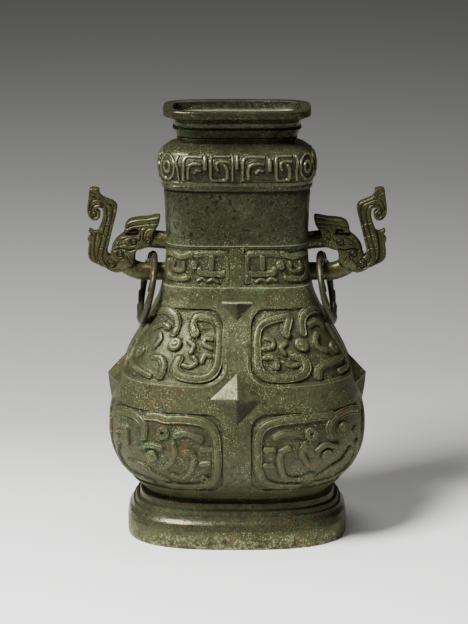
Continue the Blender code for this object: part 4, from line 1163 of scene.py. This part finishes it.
def cover_relief(nodes, relief, dirt, bare, middle, fine, dark, light):
    """Dark hollows and seams, lighter edges, worn pale ridges and bare dark metal, and the painted shade and
    painted highlights that the marks carry; gives back the hollows.
    """
    # Dark hollows, and painted shade where the marks give it
    hollow = nodes.times(nodes.ramp(relief, (-0.15, 0.0), (-0.95, 0.28)),
                         nodes.ramp(middle, (0.25, 1.0), (0.75, 0.65)))
    nodes.cover(hollow, dark)
    # Dark seams, and painted shade where the marks give it
    seam = nodes.times(dirt, nodes.ramp(fine, (0.25, 1.0), (0.75, 0.60)))
    nodes.cover(nodes.times(seam, 0.90), scaled(dark, 0.45))
    edge = nodes.times(nodes.ramp(relief, (0.1, 0.0), (0.8, 0.05)),
                       nodes.ramp(fine, (0.35, 0.2), (0.65, 1.0)))
    nodes.cover(edge, light)
    # Worn pale ridges, and painted highlights where the marks give them
    wear_and_highlight = nodes.times(nodes.ramp(relief, (0.85, 0.0), (1.45, 0.55)),
                       nodes.ramp(middle, (0.3, 0.55), (0.6, 1.0)))
    nodes.cover(wear_and_highlight, WEAR_AND_HIGHLIGHT)
    nodes.cover(nodes.times(bare, nodes.ramp(middle, (0.3, 0.75), (0.7, 0.45))), BARE)
    return hollow


def cover_spots(nodes, bare, fine, dark, light, green, speckle):
    """Pale speckle, moss, mottle and pits all over, and a crust on the foot's band; gives back the pits."""
    spots = nodes.times(nodes.ramp(fine, (0.585, 0.0), (0.64, 1.0)),
                        nodes.ramp(nodes.noise("speckle fields"), (0.42, 0.12), (0.58, 1.0)))
    spots = nodes.times(spots, nodes.ramp(bare, (-1.0, 2.2), (1.0, 0.12)))
    nodes.cover(nodes.times(spots, speckle), light)
    moss = nodes.times(nodes.ramp(nodes.noise("moss"), (0.53, 0.0), (0.60, 1.0)),
                       nodes.ramp(nodes.noise("moss fields"), (0.53, 0.0), (0.62, 0.75)))
    nodes.cover(moss, scaled(green, 1.25))
    mottle = nodes.noise("mottle")
    nodes.cover(nodes.ramp(mottle, (0.52, 0.0), (0.64, 0.20)), dark)
    nodes.cover(nodes.ramp(mottle, (0.36, 0.05), (0.47, 0.0)), light)
    pits = nodes.ramp(nodes.noise("pits"), (0.33, 1.0), (0.42, 0.0))
    nodes.cover(nodes.times(pits, 0.85), scaled(dark, 0.35))
    crust = nodes.ramp(nodes.noise("crust"), (0.50, 0.0), (0.58, 1.0))
    nodes.cover(nodes.times(crust, nodes.ramp(bare, (-0.9, 0.30), (-0.2, 0.0))), light)
    clots = nodes.ramp(nodes.noise("clots"), (0.53, 0.0), (0.60, 1.0))
    nodes.cover(nodes.times(clots, nodes.ramp(bare, (-0.9, 0.80), (-0.2, 0.0))), dark)
    return pits


def cover_places(nodes, dark):
    """Dark clouds and blots on the neck, and rust on the belly and foot."""
    height = nodes.height()
    neck = nodes.times(nodes.ramp(height, (0.385, 0.0), (0.40, 1.0)),
                       nodes.ramp(height, (0.457, 1.0), (0.461, 0.0)))
    nodes.cover(nodes.times(nodes.ramp(nodes.noise("cloud"), (0.48, 0.0), (0.60, 0.60)), neck), dark)
    blots = nodes.ramp(nodes.noise("blots"), (0.375, 1.0), (0.400, 0.0))
    nodes.cover(nodes.times(blots, nodes.ramp(neck, (0.0, 0.12), (1.0, 0.95))), scaled(dark, 0.35))
    rust = nodes.times(nodes.ramp(nodes.noise("rust"), (0.54, 0.0), (0.60, 1.0)),
                       nodes.ramp(nodes.noise("rust fields"), (0.48, 0.0), (0.58, 0.75)))
    nodes.cover(nodes.times(rust, nodes.ramp(height, (0.24, 1.0), (0.30, 0.0))), RUST)


def patina(name, base, dark, light, green, patches, speckle, gloss, metal, high=None):
    """Old bronze: an olive ground, dark hollows, pale speckle, green patches and fine pits.

    Where high is given, it is a colour that takes over above a height, as (colour, low, high).
    """
    nodes = Nodes(name, base)
    relief, dirt, bare = (nodes.attribute(key) for key in ("relief", "dirt", "bare"))
    middle, fine = nodes.noise("middle"), nodes.noise("fine")
    if high is not None:
        nodes.cover(nodes.ramp(nodes.height(), (high[1], 0.0), (high[2], 1.0)), high[0])
    nodes.cover(nodes.ramp(nodes.noise("broad"), (0.40, 0.0), (0.66, 0.40)), dark)
    nodes.cover(nodes.times(nodes.ramp(nodes.noise("green"), (0.56, 0.0), (0.68, 1.0)), patches), green)
    nodes.cover(nodes.ramp(middle, (0.48, 0.0), (0.70, 0.60)), dark)
    hollow = cover_relief(nodes, relief, dirt, bare, middle, fine, dark, light)
    pits = cover_spots(nodes, bare, fine, dark, light, green, speckle)
    cover_places(nodes, dark)
    nodes.link(nodes.colour, nodes.shader.inputs["Base Color"])
    rough = nodes.math("ADD", nodes.ramp(fine, (0.3, gloss), (0.7, gloss + 0.22)),
                       nodes.times(nodes.math("MAXIMUM", hollow, dirt), 0.22))
    nodes.link(nodes.math("SUBTRACT", rough, nodes.times(bare, 0.12)), nodes.shader.inputs["Roughness"])
    nodes.shader.inputs["Metallic"].default_value = metal
    nodes.shader.inputs["Specular IOR Level"].default_value = SPECULAR
    nodes.shader.inputs["Specular Tint"].default_value = TINT
    height = nodes.math("ADD", nodes.times(fine, 0.15), nodes.times(middle, 0.6))
    height = nodes.math("SUBTRACT", height, nodes.times(pits, 0.35))
    height = nodes.math("ADD", height, nodes.times(nodes.noise("grain"), 0.04))
    nodes.link(nodes.bump(height, PIT_DEPTH), nodes.shader.inputs["Normal"])
    return nodes.material


# Tone of the floor, from in front of the vessel to far behind it: painted light, pale round the vessel and
# darker away from it
FLOOR_GRADE = (-1.5, -0.60, -0.37, -0.134, 0.015, 0.18, 0.45, 0.78, 1.2, 2.2, 3.8, 4.9)
FLOOR_SHADES = (0.22, 0.38, 0.89, 0.80, 0.715, 0.61, 0.395, 0.34, 0.32, 0.30, 0.38, 0.45)
FLOOR_HALF = 15.0


def floor_with_painted_falloff():
    """A floor whose tone, by the depth of the place into the scene, paints the light's falloff."""
    material = bpy.data.materials.new("floor")
    material.use_nodes = True
    tree = material.node_tree
    shader = tree.nodes["Principled BSDF"]
    shader.inputs["Roughness"].default_value = 0.9
    shader.inputs["Specular IOR Level"].default_value = 0.1
    place = tree.nodes.new("ShaderNodeSeparateXYZ")
    tree.links.new(tree.nodes.new("ShaderNodeTexCoord").outputs["Object"], place.inputs["Vector"])
    tone = tree.nodes.new("ShaderNodeMapRange")
    tone.inputs["From Min"].default_value = FLOOR_GRADE[0]
    tone.inputs["From Max"].default_value = FLOOR_GRADE[-1]
    tree.links.new(place.outputs["Y"], tone.inputs["Value"])
    ramp = tree.nodes.new("ShaderNodeValToRGB")
    tree.links.new(tone.outputs["Result"], ramp.inputs["Fac"])
    while len(ramp.color_ramp.elements) < len(FLOOR_GRADE):
        ramp.color_ramp.elements.new(0.5)
    span = FLOOR_GRADE[-1] - FLOOR_GRADE[0]
    for element, depth, shade in zip(ramp.color_ramp.elements, FLOOR_GRADE, FLOOR_SHADES):
        element.position = (depth - FLOOR_GRADE[0]) / span
        element.color = (shade, shade * 0.993, shade * (0.93 + 0.06 * shade), 1)
    tree.links.new(ramp.outputs["Color"], shader.inputs["Base Color"])
    return material


def set_stage():
    """A pale floor with painted light: pale round the vessel, darker to the front and to the back."""
    corners = ((-1, -1), (1, -1), (1, 1), (-1, 1))
    points = [(x * FLOOR_HALF, y * FLOOR_HALF, 0.0) for x, y in corners]
    mesh = bpy.data.meshes.new("floor")
    mesh.from_pydata(points, [], [(0, 1, 2, 3)])
    floor = bpy.data.objects.new("floor", mesh)
    bpy.context.scene.collection.objects.link(floor)
    mesh.materials.append(floor_with_painted_falloff())


# Lights: name, place, the point aimed at, width, height and power
LIGHTS = (
    ("key", (-1.20, -1.05, 2.30), (0, 0, 0.25), 0.8, 0.8, 235),
    ("fill", (1.9, -1.6, 0.9), (0, 0, 0.25), 1.0, 1.6, 3),
    ("top", (0.2, 0.3, 2.4), (0, 0, 0.35), 1.2, 0.7, 18),
)
WORLD_COLOUR = (0.80, 0.82, 0.85, 1)
WORLD_STRENGTH = 0.06


def set_lights():
    """A square key light high on the left, a weak fill and a soft top light, in a dim studio."""
    world = bpy.data.worlds.new("studio")
    bpy.context.scene.world = world
    world.use_nodes = True
    world.node_tree.nodes["Background"].inputs["Color"].default_value = WORLD_COLOUR
    world.node_tree.nodes["Background"].inputs["Strength"].default_value = WORLD_STRENGTH
    for name, place, aim, width, height, power in LIGHTS:
        data = bpy.data.lights.new(name, "AREA")
        data.shape = "RECTANGLE"
        data.size = width
        data.size_y = height
        data.energy = power
        light = bpy.data.objects.new(name, data)
        light.location = place
        light.rotation_euler = (Vector(aim) - Vector(place)).to_track_quat("-Z", "Y").to_euler()
        bpy.context.scene.collection.objects.link(light)


CAMERA_PLACE = (-0.0039, -3.0888, 1.1212)
CAMERA_PITCH = 15.058
CAMERA_LENS = 142.87
CAMERA_SENSOR = 36
CAMERA_FAR = 50


def set_camera():
    """The photo's viewpoint: a long lens, a little above and in front."""
    data = bpy.data.cameras.new("camera")
    data.lens = CAMERA_LENS
    data.sensor_width = CAMERA_SENSOR
    data.clip_end = CAMERA_FAR
    camera = bpy.data.objects.new("camera", data)
    camera.location = CAMERA_PLACE
    camera.rotation_euler = (math.radians(90 - CAMERA_PITCH), 0, 0)
    bpy.context.scene.collection.objects.link(camera)
    bpy.context.scene.camera = camera


def main():
    build_vessel(patina(
        "vessel_bronze", base=(0.056, 0.055, 0.027), dark=(0.013, 0.012, 0.007), light=(0.44, 0.47, 0.21),
        green=(0.040, 0.080, 0.034), patches=0.5, speckle=0.68, gloss=0.27, metal=0.35,
        high=((0.033, 0.034, 0.018), 0.372, 0.396)))
    build_lid(patina(
        "lid_bronze", base=(0.038, 0.036, 0.018), dark=(0.009, 0.008, 0.005), light=(0.36, 0.36, 0.20),
        green=(0.040, 0.070, 0.032), patches=0.4, speckle=0.35, gloss=0.15, metal=0.40,
        high=((0.022, 0.020, 0.011), 0.508, 0.516)))
    handle_bronze = patina(
        "handle_bronze", base=(0.038, 0.033, 0.013), dark=(0.011, 0.009, 0.005), light=(0.32, 0.31, 0.13),
        green=(0.045, 0.085, 0.03), patches=0.5, speckle=0.45, gloss=0.20, metal=0.40)
    ring_bronze = patina(
        "ring_bronze", base=(0.028, 0.024, 0.013), dark=(0.011, 0.009, 0.006), light=(0.20, 0.18, 0.11),
        green=(0.045, 0.07, 0.03), patches=0.3, speckle=0.30, gloss=0.28, metal=0.30)
    solid = handle_solid()
    for side_name, side in (("left", -1), ("right", 1)):
        build_handle(side_name + "_handle", side, handle_bronze, solid)
        build_ring(side_name + "_ring", side, ring_bronze)
    set_stage()
    set_lights()
    set_camera()


main()
